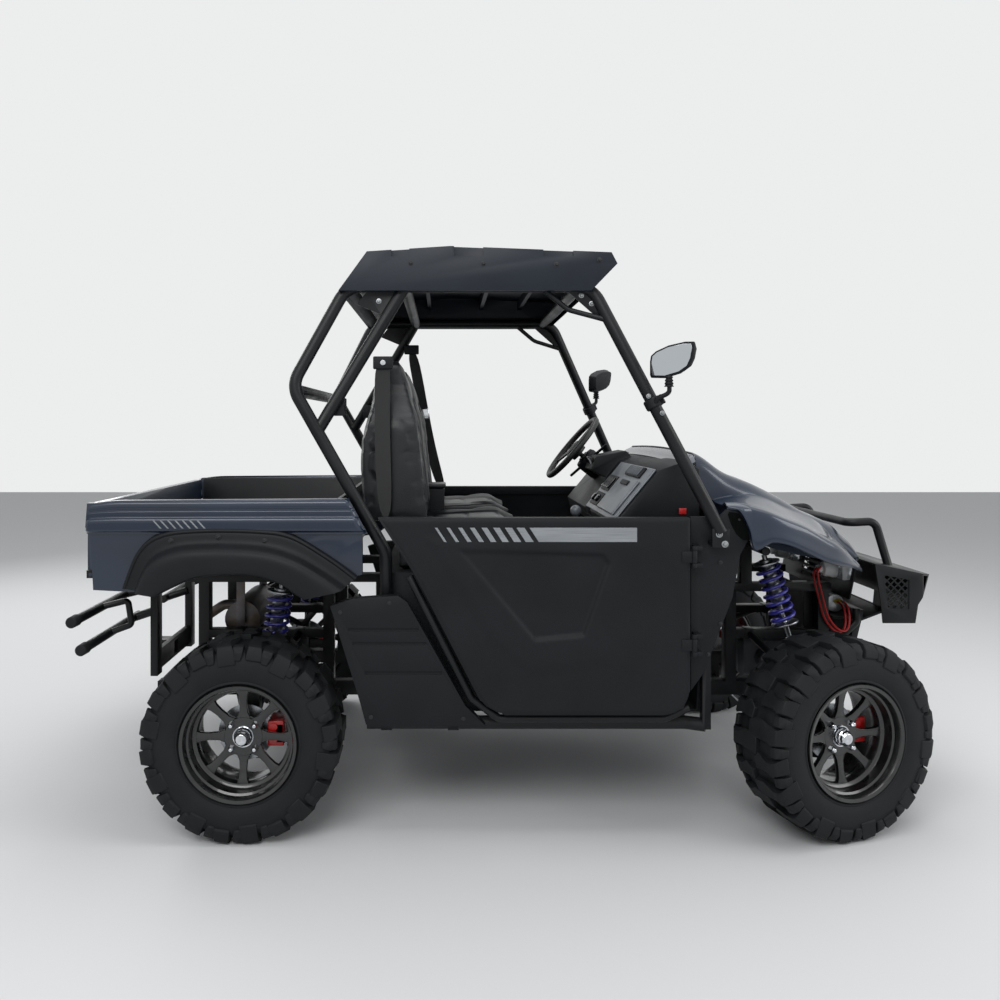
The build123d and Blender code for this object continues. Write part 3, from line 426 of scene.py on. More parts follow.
def tidy_mesh():
    """Merges doubles and turns all faces outwards, in edit mode, then goes back to object mode."""
    bpy.ops.mesh.select_all(action="SELECT")
    bpy.ops.mesh.remove_doubles(threshold=0.00001)
    bpy.ops.mesh.normals_make_consistent(inside=False)
    bpy.ops.object.mode_set(mode="OBJECT")


def turned(name, outline, steps=64, crease=35):
    """A turned piece: an outline of (radius, y) points spun round the Y axis."""
    piece = draw(name, [(radius, y, 0) for radius, y in outline])
    bpy.ops.mesh.select_all(action="SELECT")
    bpy.ops.mesh.spin(steps=steps, angle=2 * math.pi, center=(0, 0, 0), axis=(0, 1, 0))
    tidy_mesh()
    smooth(piece, crease)
    return piece


def plate(name, outline, thickness, bevel=0.0, segments=1):
    """A plate: an outline of (x, y) points closed, filled, and given a thickness along Z and soft edges."""
    piece = draw(name, [(x, y, 0) for x, y in (*outline, outline[0])])
    bpy.ops.mesh.select_all(action="SELECT")
    bpy.ops.mesh.edge_face_add()
    bpy.ops.transform.translate(value=(0, 0, -thickness / 2))
    bpy.ops.mesh.extrude_region_move(TRANSFORM_OT_translate={"value": (0, 0, thickness)})
    tidy_mesh()
    if bevel:
        apply_modifier(piece, "BEVEL", width=bevel, segments=segments, limit_method="ANGLE")
    smooth(piece)
    return piece


def copy_of(piece, matrix):
    """A copy of a piece, with its own mesh, placed by a matrix."""
    other = piece.copy()
    other.data = piece.data.copy()
    other.data.transform(matrix)
    if matrix.determinant() < 0:
        other.data.flip_normals()
    bpy.context.scene.collection.objects.link(other)
    return other


def joined(name, pieces):
    """Joins pieces into the first of them, under a new name."""
    only(pieces[0], *pieces[1:])
    bpy.ops.object.join()
    pieces[0].name = name
    return pieces[0]


def block(name, low, high, bevel, segments=3):
    """A moulded block between two corners, with rounded edges."""
    piece = primitive(name, bpy.ops.mesh.primitive_cube_add, size=1)
    size = [b - a for a, b in zip(low, high)]
    middle = [(a + b) / 2 for a, b in zip(low, high)]
    piece.data.transform(Matrix.Translation(middle) @ Matrix.Diagonal((*size, 1)))
    apply_modifier(piece, "BEVEL", width=bevel, segments=segments, limit_method="ANGLE")
    smooth(piece)
    return piece


def with_mirror_image(name, piece):
    """A piece and its mirror image on the vehicle's left, as one piece."""
    return joined(name, [piece, copy_of(piece, mirrored)])


def all_round(name, piece, count, start=0.0):
    """Copies of a piece all round the Y axis, joined; the piece itself goes."""
    turns = [Matrix.Rotation(start + 2 * math.pi * index / count, 4, "Y") for index in range(count)]
    copies = [copy_of(piece, turn) for turn in turns]
    bpy.data.objects.remove(piece)
    return joined(name, copies)


def wheel_matrix(corner):
    """Where a wheel stands: its axle's place and direction, with its outer face away from the vehicle."""
    joint = joint_of["spin_" + corner]
    x, y, _ = joint["axis"]
    turn = math.atan2(-x, y) + (math.pi if corner.endswith("left") else 0.0)
    return Matrix.Translation(joint["pos_m"]) @ Matrix.Rotation(turn, 4, "Z")


def zigzag(y):
    """How far a lug's middle line swings round the tyre at a distance from the tread's middle."""
    return 0.008 * math.cos(y / 0.042 * math.pi)


def lug(name, half, start, reach, width):
    """One tread lug: its section from the tread's middle over the shoulder, swung into a zigzag."""
    foot = carcass_radius - 0.012
    outline = [(foot, start), (tread_radius, start + 0.002), (tread_radius, 0.034), (tread_radius, 0.066)]
    outline += [(tread_radius - 0.001, half - 0.026), (tread_radius - 0.006, half - 0.012)]
    outline += [(0.300, half - 0.001), (reach, half + 0.0015), (reach - 0.006, half - 0.006)]
    outline += [(0.284, half - 0.016), (foot, half - 0.030), (foot, 0.066), (foot, 0.034)]
    piece = plate(name, outline, width)
    for vertex in piece.data.vertices:
        draft = 0.84 if vertex.co.x > foot + 0.01 else 1.0
        waist = 1.0 - 0.3 * math.cos(vertex.co.y / 0.033 * math.pi) * (vertex.co.y < 0.08)
        vertex.co.z = vertex.co.z * draft * waist + zigzag(vertex.co.y)
    apply_modifier(piece, "BEVEL", width=0.0018, segments=1, limit_method="ANGLE")
    return piece


def side_biter(name, half):
    """The low moulded step on the shoulder between two lugs, narrower at its foot."""
    outline = [(0.300, half - 0.034), (0.3175, half - 0.032), (0.314, half - 0.014), (0.296, half - 0.0015)]
    outline += [(0.272, half + 0.0005), (0.267, half - 0.008), (0.284, half - 0.020)]
    piece = plate(name, outline, 0.034)
    for vertex in piece.data.vertices:
        vertex.co.z = vertex.co.z * (0.6 if vertex.co.x < 0.275 else 1.0)
    apply_modifier(piece, "BEVEL", width=0.0022, segments=1, limit_method="ANGLE")
    return piece


def tyre(name, half):
    """A whole tyre: the spun carcass with its rim guard, four rings of lugs and two of side biters."""
    shoulder = [(0.3065, half - 0.05), (0.302, half - 0.03), (0.291, half - 0.014), (0.273, half - 0.005)]
    wall = [(0.252, half - 0.002), (0.230, half - 0.002), (0.212, half - 0.006), (0.203, half - 0.010)]
    guard = [(0.2005, half - 0.0085), (0.1965, half - 0.0085), (0.194, half - 0.013), (0.184, half - 0.020)]
    inside = [(0.177, half - 0.024), (0.190, half - 0.034), (0.270, half - 0.022), (0.292, half - 0.05)]
    side = shoulder + wall + guard + inside
    tread = [(carcass_radius, 0.0), *side, (0.293, 0.0)]
    outline = tread + [(r, -y) for r, y in reversed(tread[:-1])]
    carcass = turned(name, outline, steps=96, crease=50)
    pitch = 2 * math.pi / lug_count
    rings = []
    for number, (start, reach, width) in enumerate(((-0.022, 0.258, 0.056), (0.008, 0.277, 0.050))):
        one = lug("lug", half, start, reach, width)
        other = copy_of(one, mirrored)
        rings.append(all_round("lugs", one, lug_count // 2, pitch * number))
        rings.append(all_round("lugs", other, lug_count // 2, pitch * (number + 0.5)))
    one = side_biter("side_biter", half)
    other = copy_of(one, mirrored)
    rings.append(all_round("side_biters", one, lug_count, pitch * 0.5))
    rings.append(all_round("side_biters", other, lug_count, 0.0))
    piece = joined(name, [carcass, *rings])
    smooth(piece, 50)
    return piece


def rim(name, half, face):
    """A rim: spun barrel and dish, eight slim spokes to a thick hub, with the outer face at -Y."""
    lip = half - 0.005
    outer = [(0.1885, -lip), (0.1905, 0.004 - lip), (0.188, 0.009 - lip), (0.179, 0.012 - lip)]
    bed = [(0.1757, 0.022 - lip), (0.1757, lip - 0.022)]
    back = [(0.179, lip - 0.012), (0.188, lip - 0.009), (0.1905, lip - 0.004), (0.1885, lip), (0.182, lip)]
    inner = [(0.172, lip - 0.016), (0.167, lip - 0.04), (0.166, -face + 0.03), (0.158, -face + 0.015)]
    ring = [(0.149, 0.004 - face), (0.147, -face - 0.014), (0.152, -face - 0.026), (0.160, -face - 0.029)]
    dish = [(0.163, -face - 0.032), (0.166, 0.030 - lip), (0.1725, 0.026 - lip), (0.174, 0.010 - lip)]
    bead = [(0.178, 0.003 - lip), (0.1885, -lip)]
    barrel = turned(name, outer + bed + back + inner + ring + dish + bead, steps=96)
    inside = [(0.0125, 0.026 - face), (0.034, 0.026 - face), (0.036, 0.008 - face), (0.058, 0.006 - face)]
    flange = [(0.066, -face - 0.002), (0.066, -face - 0.010), (0.062, -face - 0.014), (0.036, -face - 0.014)]
    bore = [(0.034, -face - 0.011), (0.0125, -face - 0.011), (0.0125, 0.026 - face)]
    hub = turned("hub", inside + flange + bore, steps=48)
    spoke = primitive("spoke", bpy.ops.mesh.primitive_cube_add, size=1)
    bpy.ops.object.mode_set(mode="EDIT")
    bpy.ops.transform.resize(value=spoke_foot)
    bpy.ops.transform.translate(value=(spoke_root, -face - 0.004, 0))
    bpy.context.tool_settings.mesh_select_mode = (False, False, True)
    bpy.ops.mesh.select_all(action="DESELECT")
    bpy.ops.object.mode_set(mode="OBJECT")
    for polygon in spoke.data.polygons:
        polygon.select = polygon.normal.x > 0.9
    bpy.ops.object.mode_set(mode="EDIT")
    for length, drop, taper in spoke_steps:
        bpy.ops.mesh.extrude_region_move(TRANSFORM_OT_translate={"value": (length, drop, 0)})
        bpy.ops.transform.resize(value=(1, 1, taper))
    tidy_mesh()
    apply_modifier(spoke, "BEVEL", width=0.003, segments=2, limit_method="ANGLE")
    spokes = all_round("spokes", spoke, spoke_count)
    piece = joined(name, [barrel, hub, spokes])
    smooth(piece)
    return piece


def bright_parts(name, face):
    """The chromed wheel nuts and the hexagonal axle nut with its ring, all on the hub's face."""
    front = -face - 0.011
    shank = [(0.0, front - 0.024), (0.006, front - 0.0235), (0.0095, front - 0.019), (0.0115, front - 0.012)]
    nut = turned("nut", shank + [(0.0125, front - 0.004), (0.0135, front), (0.0, front)], steps=6, crease=20)
    apply_modifier(nut, "BEVEL", width=0.001, segments=2, limit_method="ANGLE")
    nut.data.transform(Matrix.Translation((nut_circle, 0, 0)))
    nuts = all_round("nuts", nut, nut_count, math.radians(45))
    seat = [(0.031, front), (0.031, front - 0.006), (0.0345, front - 0.007), (0.0365, front), (0.031, front)]
    ring = turned("ring", seat, steps=48)
    end = [(0.0, front - 0.040), (0.017, front - 0.040), (0.022, front - 0.034), (0.024, front - 0.026)]
    end += [(0.0275, front - 0.022), (0.028, front), (0.0, front)]
    axle_nut = turned("axle_nut", end, steps=12, crease=15)
    apply_modifier(axle_nut, "BEVEL", width=0.0012, segments=2, limit_method="ANGLE")
    return joined(name, [nuts, ring, axle_nut])


def brake_disc(name, face):
    """A brake disc behind the hub, with two rings of round vent spots."""
    back = disc_depth - face
    rows = [(0.045, back), (0.092, back), (0.092, back + 0.005), (0.045, back + 0.005), (0.045, back)]
    disc = turned(name, rows, steps=72)
    spots = [(0.0, back - 0.0006), (0.0045, back - 0.0006), (0.0045, back), (0.0, back)]
    rings = []
    for radius, start in spot_rings:
        spot = turned("spot", spots, steps=10)
        spot.data.transform(Matrix.Translation((radius, 0, 0)))
        rings.append(all_round("spots", spot, spots_a_ring, start))
    return joined(name, [disc, *rings])


def caliper(name, face):
    """A two-piston brake caliper astride the disc: its inner cheek reaches to the wheel's carrier."""
    back = disc_depth - face
    outer = block("cheek", (0.074, back - 0.015, -0.042), (0.128, back - 0.003, 0.042), 0.004)
    bridge = block("bridge", (0.097, back - 0.015, -0.034), (0.129, back + 0.030, 0.034), 0.005)
    inner = block("cheek", (0.074, back + 0.009, -0.042), (0.128, caliper_reach, 0.042), 0.004)
    pistons = []
    for rise in (-0.021, 0.021):
        front = back - 0.018
        rows = [(0.0, front), (0.013, front), (0.014, back - 0.014), (0.0, back)]
        piston = turned("piston", rows, steps=24)
        piston.data.transform(Matrix.Translation((0.094, 0, rise)))
        pistons.append(piston)
    return joined(name, [outer, bridge, inner, *pistons])


rubber = tyre_rubber()
rim_enamel = gloss_rim_paint()
chrome = chrome_plate()
red_enamel = caliper_red()
for end in ("rear", "front"):
    face = lug_plane - wheel_middle_of[end]
    half = half_width_of[end]
    patterns = [
        # pattern piece, name, finish, slot, node that it stands for
        (tyre("tyre_pattern", half), "tyre_{}_rubber", rubber, "tyre_rubber", "tyre_{}"),
        (rim("rim_pattern", half, face), "rim_{}_casting", rim_enamel, "rim_paint", "rim_{}"),
        (bright_parts("nuts_pattern", face), "wheel_nuts_{}", chrome, "damper_steel", None),
        (brake_disc("disc_pattern", face), "brake_disc_{}", bright_steel, "damper_steel", None),
    ]
    for side in wheel_sides:
        corner = end + "_" + side
        for pattern, name, finish, slot, node in patterns:
            piece = copy_of(pattern, wheel_matrix(corner))
            piece.name = name.format(corner)
            finish_piece(piece, finish, "wheel_" + corner)
            if node:
                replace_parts(piece, node.format(corner))
    for pattern in patterns:
        bpy.data.objects.remove(pattern[0])
    pattern = caliper("caliper_pattern", face)
    for side in wheel_sides:
        corner = end + "_" + side
        forward = Matrix.Scale(-1 if side == "left" else 1, 4, (1, 0, 0))
        piece = copy_of(pattern, wheel_matrix(corner) @ forward)
        piece.name = "caliper_" + corner
        carrier = "chassis" if end == "rear" else "knuckle_" + side
        finish_piece(piece, red_enamel, carrier)
    bpy.data.objects.remove(pattern)

# ---- Cab tub -------------------------------------------------------------------------------------
# The floor, firewall and seat base, moulded from black polyethylene with a stippled grain.  They are
# bolted down on the frame's rails and keep mud and spray out of the cab.


def stippled_plastic():
    """Near-black moulded plastic with a blue tint and a 1.5 mm leather grain, drawn at 3 mm."""
    finish, tree, shader, place = new_finish("grained_black_plastic")
    grain = add_node(tree, "ShaderNodeTexVoronoi", {"Vector": place, "Scale": 330.0})
    wear = add_node(tree, "ShaderNodeTexNoise", {"Vector": place, "Scale": 5.0, "Detail": 6.0})
    bump = add_node(tree, "ShaderNodeBump", {"Height": grain, "Strength": 0.35, "Distance": 0.0008})
    connect(tree, shader, {
        "Base Color": blend_colours(tree, wear, "#0c0f12", "#121519"),
        "Roughness": between(tree, wear, 0.48, 0.6),
        "Specular IOR Level": 0.25,
        "Normal": bump,
        "IOR": 1.49,
    })
    return finish


grained_black = stippled_plastic()
for node in ("floor_tub", "seat_base"):
    dress(node, grained_black, edge=0.003)

# ---- Seats and belts -----------------------------------------------------------------------------
# Two bucket seats of moulded foam under black vinyl, with raised bolsters and sewn channels.  Woven
# belts hang from the cage's pillars, and a storage box with a padded lid stands between the seats.

seat_middle = 0.325
pad_voxel = 0.0075
cover_travel = 0.007
cover_pressure = 4.0
cover_steps = 20
channel_depth = 0.006
channel_width = 0.007
back_foot, back_height = 1.012, 0.572
cushion_foot, cushion_rear, cushion_length, cushion_half = 0.858, -0.422, 0.432, 0.222
out_of_reach = 9
belt_thickness = 0.0022


def seat_vinyl():
    """Expanded vinyl on knitted cloth: black, with a leather grain 2 mm across, drawn at 4 mm."""
    finish, tree, shader, place = new_finish("black_seat_vinyl")
    grain = add_node(tree, "ShaderNodeTexVoronoi", {"Vector": place, "Scale": 260.0})
    sheen = add_node(tree, "ShaderNodeTexNoise", {"Vector": place, "Scale": 7.0, "Detail": 4.0})
    bump = add_node(tree, "ShaderNodeBump", {"Height": grain, "Strength": 0.35, "Distance": 0.0008})
    connect(tree, shader, {
        "Base Color": blend_colours(tree, sheen, "#15171a", "#1c1f22"),
        "Roughness": between(tree, sheen, 0.36, 0.48),
        "Specular IOR Level": 0.4,
        "Normal": bump,
    })
    return finish


def belt_webbing():
    """Polyester webbing, woven in ribs 1.5 mm apart along the belt's width and drawn at 3 mm."""
    finish, tree, shader, place = new_finish("black_belt_webbing")
    settings = {"wave_type": "BANDS", "bands_direction": "Z"}
    ribs = add_node(tree, "ShaderNodeTexWave", {"Vector": place, "Scale": 105.0}, **settings).outputs["Fac"]
    bump = add_node(tree, "ShaderNodeBump", {"Height": ribs, "Strength": 0.6, "Distance": 0.0008})
    connect(tree, shader, {
        "Base Color": blend_colours(tree, ribs, "#0a0b0c", "#131416"),
        "Roughness": 0.7,
        "Sheen Weight": 0.3,
        "Normal": bump,
    })
    return finish


def inflate(piece, seams):
    """Blows a pad up as cloth, so that its cover rounds between its corners, and presses its seams in."""
    apply_modifier(piece, "REMESH", mode="VOXEL", voxel_size=pad_voxel)
    before = [vertex.co.copy() for vertex in piece.data.vertices]
    cover = piece.modifiers.new("cover", "CLOTH")
    cover.settings.use_pressure = True
    cover.settings.uniform_pressure_force = cover_pressure
    cover.settings.effector_weights.gravity = 0.0
    for step in range(1, cover_steps + 1):
        bpy.context.scene.frame_set(step)
    only(piece)
    bpy.ops.object.modifier_apply(modifier="cover")
    for vertex, start in zip(piece.data.vertices, before):
        travel = vertex.co - start
        if travel.length > cover_travel:
            vertex.co = start + travel * (cover_travel / travel.length)
    bpy.context.scene.frame_set(1)
    for vertex in piece.data.vertices:
        depth = sum(channel_depth * math.exp(-((seam(vertex.co) / channel_width) ** 2)) for seam in seams)
        vertex.co -= vertex.normal * min(depth, channel_depth)
    apply_modifier(piece, "SUBSURF", levels=1, render_levels=1)
    smooth(piece, 60)


def pad(name, shape, cuts):
    """A pad: a subdivided block, whose points from -1 to 1 each way are placed by a shape."""
    piece = primitive(name, bpy.ops.mesh.primitive_cube_add, size=2)
    bpy.ops.object.mode_set(mode="EDIT")
    bpy.ops.mesh.subdivide(number_cuts=cuts)
    bpy.ops.object.mode_set(mode="OBJECT")
    for vertex in piece.data.vertices:
        vertex.co = shape(*vertex.co)
    return piece


def ease(value):
    """A soft step from 0 to 1."""
    value = min(max(value, 0.0), 1.0)
    return value * value * (3 - 2 * value)


def back_shape(front, across, up):
    """Places a point of the seat's back: a tall shield, narrower at the shoulders, with side bolsters."""
    share = (up + 1) / 2
    rear_x = -0.527 - 0.022 * math.sin(math.pi * min(share / 0.7, 1.0)) + 0.030 * ease((share - 0.45) / 0.55)
    front_x = -0.336 - 0.062 * share - 0.022 * ease((share - 0.8) / 0.2)
    bolster = ease((abs(across) - 0.55) / 0.3) * (1 - ease((share - 0.6) / 0.25))
    front_x += 0.022 * bolster - 0.012 * (1 - abs(across))
    half_width = 0.214 - 0.052 * ease((share - 0.62) / 0.3) - 0.012 * (1 - share) ** 2
    x = (front_x - rear_x) * (front + 1) / 2 + rear_x
    corner = 0.020 * (1 - math.sqrt(max(0.0, 1 - max(0.0, abs(across) * 2.5 - 1.5) ** 2)))
    return x, across * half_width, back_foot + share * back_height - corner * (share > 0.5)


def cushion_shape(front, across, up):
    """Places a point of the seat's cushion: thick, with bolsters and a front edge that rolls over."""
    share = (front + 1) / 2
    bolster = 0.016 * ease((abs(across) - 0.6) / 0.25)
    top_z = 0.988 + 0.026 * share - 0.034 * ease((share - 0.82) / 0.18) + bolster
    z = cushion_foot + (top_z - cushion_foot) * (up + 1) / 2
    x = cushion_rear + cushion_length * share + (0.012 * up - 0.008) * ease((share - 0.8) / 0.2)
    return x, across * cushion_half, z


def back_channels():
    """The back's sewn lines, each as the distance from it to a point."""

    def beside_bolster(p):
        return abs(abs(p.y) - 0.132 + 0.03 * ease((p.z - 1.35) / 0.2)) + out_of_reach * (p.x < -0.45)

    def round_side(p):
        return abs(p.x + 0.455 + 0.02 * (p.z - 1.0)) + out_of_reach * (abs(p.y) < 0.1)

    def across_middle(level):
        return lambda p: abs(p.z - level) + out_of_reach * (abs(p.y) > 0.13 or p.x < -0.45)

    return [beside_bolster, *[across_middle(level) for level in (1.16, 1.30, 1.44)], round_side]


def cushion_channels():
    """The cushion's sewn lines, each as the distance from it to a point."""

    def beside_bolster(p):
        return abs(abs(p.y) - 0.140) + out_of_reach * (p.z < 0.95)

    def below_top(p):
        return abs(p.z - 0.965)

    def across_middle(place):
        return lambda p: abs(p.x - place) + out_of_reach * (abs(p.y) > 0.14 or p.z < 0.95)

    return [beside_bolster, *[across_middle(place) for place in (-0.30, -0.18, -0.06)], below_top]


def ribbon(name, points, width, thickness):
    """A flat strap along points, its width along X and its thickness outwards, with rounded folds."""
    piece = draw(name, [(x - width / 2, y, z) for x, y, z in points])
    bpy.ops.mesh.select_all(action="SELECT")
    bpy.ops.mesh.extrude_region_move(TRANSFORM_OT_translate={"value": (width, 0, 0)})
    bpy.ops.object.mode_set(mode="OBJECT")
    apply_modifier(piece, "SUBSURF", levels=2, render_levels=2)
    apply_modifier(piece, "SOLIDIFY", thickness=thickness, offset=0.0)
    smooth(piece, 40)
    return piece


vinyl = seat_vinyl()
webbing = belt_webbing()
back_pattern = pad("seat_back", back_shape, 15)
inflate(back_pattern, back_channels())
cushion_pattern = pad("seat_cushion", cushion_shape, 13)
inflate(cushion_pattern, cushion_channels())
for side, y in (("right", -seat_middle), ("left", seat_middle)):
    for pattern, node in ((back_pattern, "seat_backs"), (cushion_pattern, "seat_cushions")):
        piece = copy_of(pattern, Matrix.Translation((0, y, 0)))
        piece.name = pattern.name + "_" + side
        finish_piece(piece, vinyl, "chassis")
        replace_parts(piece, node)
bpy.data.objects.remove(back_pattern)
bpy.data.objects.remove(cushion_pattern)

right_strap = [(-0.470, -0.585, 1.56), (-0.474, -0.575, 1.50), (-0.474, -0.568, 1.25), (-0.462, -0.566, 1.02)]
left_strap = [(-0.416, 0.560, 1.70), (-0.387, 0.575, 1.56), (-0.331, 0.572, 1.23), (-0.268, 0.570, 1.03)]
for name, points, width in (("belt_right", right_strap, 0.052), ("belt_left", left_strap, 0.050)):
    belt = ribbon(name, points, width, belt_thickness)
    finish_piece(belt, webbing, "chassis")
    reel = Matrix.Translation(points[0])
    keeper = block(name + "_keeper", (-0.034, -0.006, -0.022), (0.034, 0.006, 0.022), 0.005)
    keeper.data.transform(reel)
    finish_piece(keeper, grained_black, "chassis")
    bolt = turned(name + "_bolt", [(0.0, -0.012), (0.009, -0.011), (0.011, -0.007), (0.011, 0.0)], steps=16)
    bolt.data.transform(reel @ Matrix.Rotation(math.pi if name == "belt_left" else 0.0, 4, "Z"))
    finish_piece(bolt, chrome, "chassis")
tongue = block("belt_left_tongue", (-0.382, 0.563, 1.375), (-0.336, 0.577, 1.425), 0.004)
finish_piece(tongue, chrome, "chassis")

box = block("storage_box", (-0.352, -0.068, 0.860), (-0.262, 0.068, 1.096), 0.008)
finish_piece(box, grained_black, "chassis")
lid = block("storage_box_lid", (-0.356, -0.072, 1.097), (-0.256, 0.072, 1.112), 0.005)
finish_piece(lid, vinyl, "chassis")
dress("seat_belts", grained_black, edge=0.004)

# ---- Dashboard and controls ----------------------------------------------------------------------
# The moulded dashboard carries a pale inner panel with its glovebox and vents, an instrument pod and
# a shrouded column with a moulded wheel.  The gear lever and pedals stand on the floor, and a red pull
# beside the dashboard opens the bonnet.

dash_foot = (0.318, 0.0, 1.010)
slope_run, slope_rise = 0.635, 0.773
slat_count, first_slat, slat_step = 8, 0.245, 0.028
rocker_count, first_rocker, rocker_step = 4, 0.030, 0.035
meter_place = (0.3605, 0.2025, 1.190)
meter_lean = math.radians(-20)
steering_wheel_middle = (0.305, 0.330, 1.248)
gear_knob_middle = (0.280, 0.060, 0.995)


def grip_polyurethane():
    """Soft polyurethane, moulded over a steel ring: matt black, with a 1 mm grip grain drawn at 1.7 mm."""
    finish, tree, shader, place = new_finish("grip_polyurethane")
    grain = add_node(tree, "ShaderNodeTexNoise", {"Vector": place, "Scale": 600.0, "Detail": 2.0})
    bump = add_node(tree, "ShaderNodeBump", {"Height": grain, "Strength": 0.4, "Distance": 0.0006})
    connect(tree, shader, {
        "Base Color": blend_colours(tree, grain, "#0c0d0f", "#131416"),
        "Roughness": between(tree, grain, 0.42, 0.58),
        "Normal": bump,
    })
    return finish


def pale_panel():
    """Pale grey ABS with a spark-eroded texture 1 mm across, drawn at 2 mm, and a few scuffs."""
    finish, tree, shader, place = new_finish("pale_grey_abs")
    grain = add_node(tree, "ShaderNodeTexNoise", {"Vector": place, "Scale": 500.0, "Detail": 2.0})
    scuffs = add_node(tree, "ShaderNodeTexNoise", {"Vector": place, "Scale": 22.0, "Detail": 8.0})
    bump = add_node(tree, "ShaderNodeBump", {"Height": grain, "Strength": 0.3, "Distance": 0.0006})
    connect(tree, shader, {
        "Base Color": blend_colours(tree, scuffs, "#5f646a", "#747a80"),
        "Roughness": between(tree, scuffs, 0.3, 0.45),
        "Normal": bump,
        "IOR": 1.54,
    })
    return finish


def dark_glass():
    """A printed acrylic window: black behind a hard gloss."""
    finish, tree, shader, place = new_finish("black_acrylic_window")
    depth = add_node(tree, "ShaderNodeTexNoise", {"Vector": place, "Scale": 20.0, "Detail": 2.0})
    connect(tree, shader, {
        "Base Color": blend_colours(tree, depth, "#0a0c0e", "#12161a"),
        "Roughness": 0.08,
        "IOR": 1.49,
    })
    return finish


def standing(right, up, facing, place):
    """The matrix that turns X, Y and Z to three directions and sets the origin in a place."""
    return Matrix((*zip(right, up, facing, place), (0, 0, 0, 1)))


def on_dash(name, across, up, rise, bevel, finish):
    """A block on the dashboard's sloping face: its span to the vehicle's right, up the slope and off it."""
    piece = block(name, *zip(across, up, rise), bevel)
    piece.data.transform(dash_matrix)
    return finish_piece(piece, finish, "chassis")


pale_abs = pale_panel()
acrylic = dark_glass()
grip = grip_polyurethane()
dash_matrix = standing((0, -1, 0), (slope_run, 0, slope_rise), (-slope_rise, 0, slope_run), dash_foot)
off_dash = Vector((0, -1, 0)).rotation_difference(Vector((-slope_rise, 0, slope_run))).to_matrix().to_4x4()
dress("dash", grained_black, edge=0.006)
dress("steering_column", black_coat)
dress("steering_wheel", grip, edge=0.003)
dress("controls", black_coat)

on_dash("inner_panel", (-0.02, 0.560), (0.004, 0.236), (0.0005, 0.010), 0.006, pale_abs)
on_dash("glovebox_door", (0.215, 0.520), (0.022, 0.172), (0.0105, 0.020), 0.008, pale_abs)
on_dash("glovebox_handle", (0.310, 0.425), (0.140, 0.160), (0.0205, 0.026), 0.004, grained_black)
on_dash("vent_frame", (0.230, 0.470), (0.184, 0.230), (0.0105, 0.018), 0.005, grained_black)
for number in range(slat_count):
    x = first_slat + slat_step * number
    on_dash(f"vent_slat_{number}", (x, x + 0.006), (0.189, 0.225), (0.0185, 0.023), 0.001, pale_abs)
on_dash("switch_plate", (0.020, 0.175), (0.096, 0.168), (0.0105, 0.015), 0.004, grained_black)
for number in range(rocker_count):
    x = first_rocker + rocker_step * number
    on_dash(f"rocker_{number}", (x, x + 0.026), (0.106, 0.156), (0.0155, 0.023), 0.003, acrylic)
on_dash("socket_plate", (0.020, 0.175), (0.024, 0.084), (0.0105, 0.015), 0.004, grained_black)
for number, x in enumerate((0.060, 0.135)):
    rows = [(0.0, -0.012), (0.013, -0.011), (0.016, -0.007), (0.016, 0.0)]
    socket = turned(f"socket_{number}", rows, steps=24)
    socket.data.transform(Matrix.Translation(dash_matrix @ Vector((x, 0.054, 0.015))) @ off_dash)
    finish_piece(socket, acrylic, "chassis")

screen = block("instrument_window", (-0.070, -0.004, -0.024), (0.070, 0.003, 0.024), 0.003)
tilt = Matrix.Rotation(math.radians(90), 4, "Z") @ Matrix.Rotation(meter_lean, 4, "X")
screen.data.transform(Matrix.Translation(meter_place) @ tilt)
finish_piece(screen, acrylic, "chassis")

axis = Vector(joint_of["steering_wheel_turn"]["axis"])
forward = axis if axis.x > 0 else -axis
wheel_turn = Vector((0, 1, 0)).rotation_difference(forward).to_matrix().to_4x4()
column_matrix = Matrix.Translation(steering_wheel_middle) @ wheel_turn
rows = [(0.0, -0.004), (0.030, -0.003), (0.043, 0.004), (0.047, 0.014), (0.045, 0.030), (0.0, 0.030)]
horn = turned("horn_cover", rows, steps=40)
horn.data.transform(column_matrix)
finish_piece(horn, grained_black, "steering_wheel")
rows = [(0.028, 0.062), (0.046, 0.066), (0.052, 0.080), (0.050, 0.150), (0.040, 0.190), (0.028, 0.192)]
shroud = turned("column_shroud", rows + rows[:1], steps=24)
shroud.data.transform(column_matrix)
finish_piece(shroud, grained_black, "chassis")
for number, side in enumerate((-1, 1)):
    stalk = block(f"column_stalk_{number}", (-0.005, 0.085, 0.050), (0.005, 0.097, 0.150), 0.004)
    stalk.data.transform(column_matrix @ Matrix.Rotation(math.radians(90 * side), 4, "Y"))
    finish_piece(stalk, grained_black, "chassis")
ball = bpy.ops.mesh.primitive_uv_sphere_add
knob = primitive("gear_knob", ball, segments=32, ring_count=16, radius=0.0228)
knob.data.transform(Matrix.Translation(gear_knob_middle))
smooth(knob, 60)
finish_piece(knob, pale_abs, "chassis")
release = block("hood_release", (0.535, -0.5905, 1.045), (0.560, -0.5855, 1.066), 0.002)
finish_piece(release, red_enamel, "chassis")

# ---- Roll cage -----------------------------------------------------------------------------------
# Bent and welded 42 mm steel tube in the same satin black powder coat.  Zinc-plated bolts hold it at
# its feet and gussets.


def zinc_plate():
    """Bright zinc on steel: pale, slightly milky, with a passivated bloom some 20 mm across."""
    finish, tree, shader, place = new_finish("zinc_plated_steel")
    bloom = add_node(tree, "ShaderNodeTexNoise", {"Vector": place, "Scale": 50.0, "Detail": 4.0})
    connect(tree, shader, {
        "Base Color": blend_colours(tree, bloom, "#8b8e90", "#a9acae"),
        "Metallic": 0.9,
        "Roughness": between(tree, bloom, 0.25, 0.42),
    })
    return finish


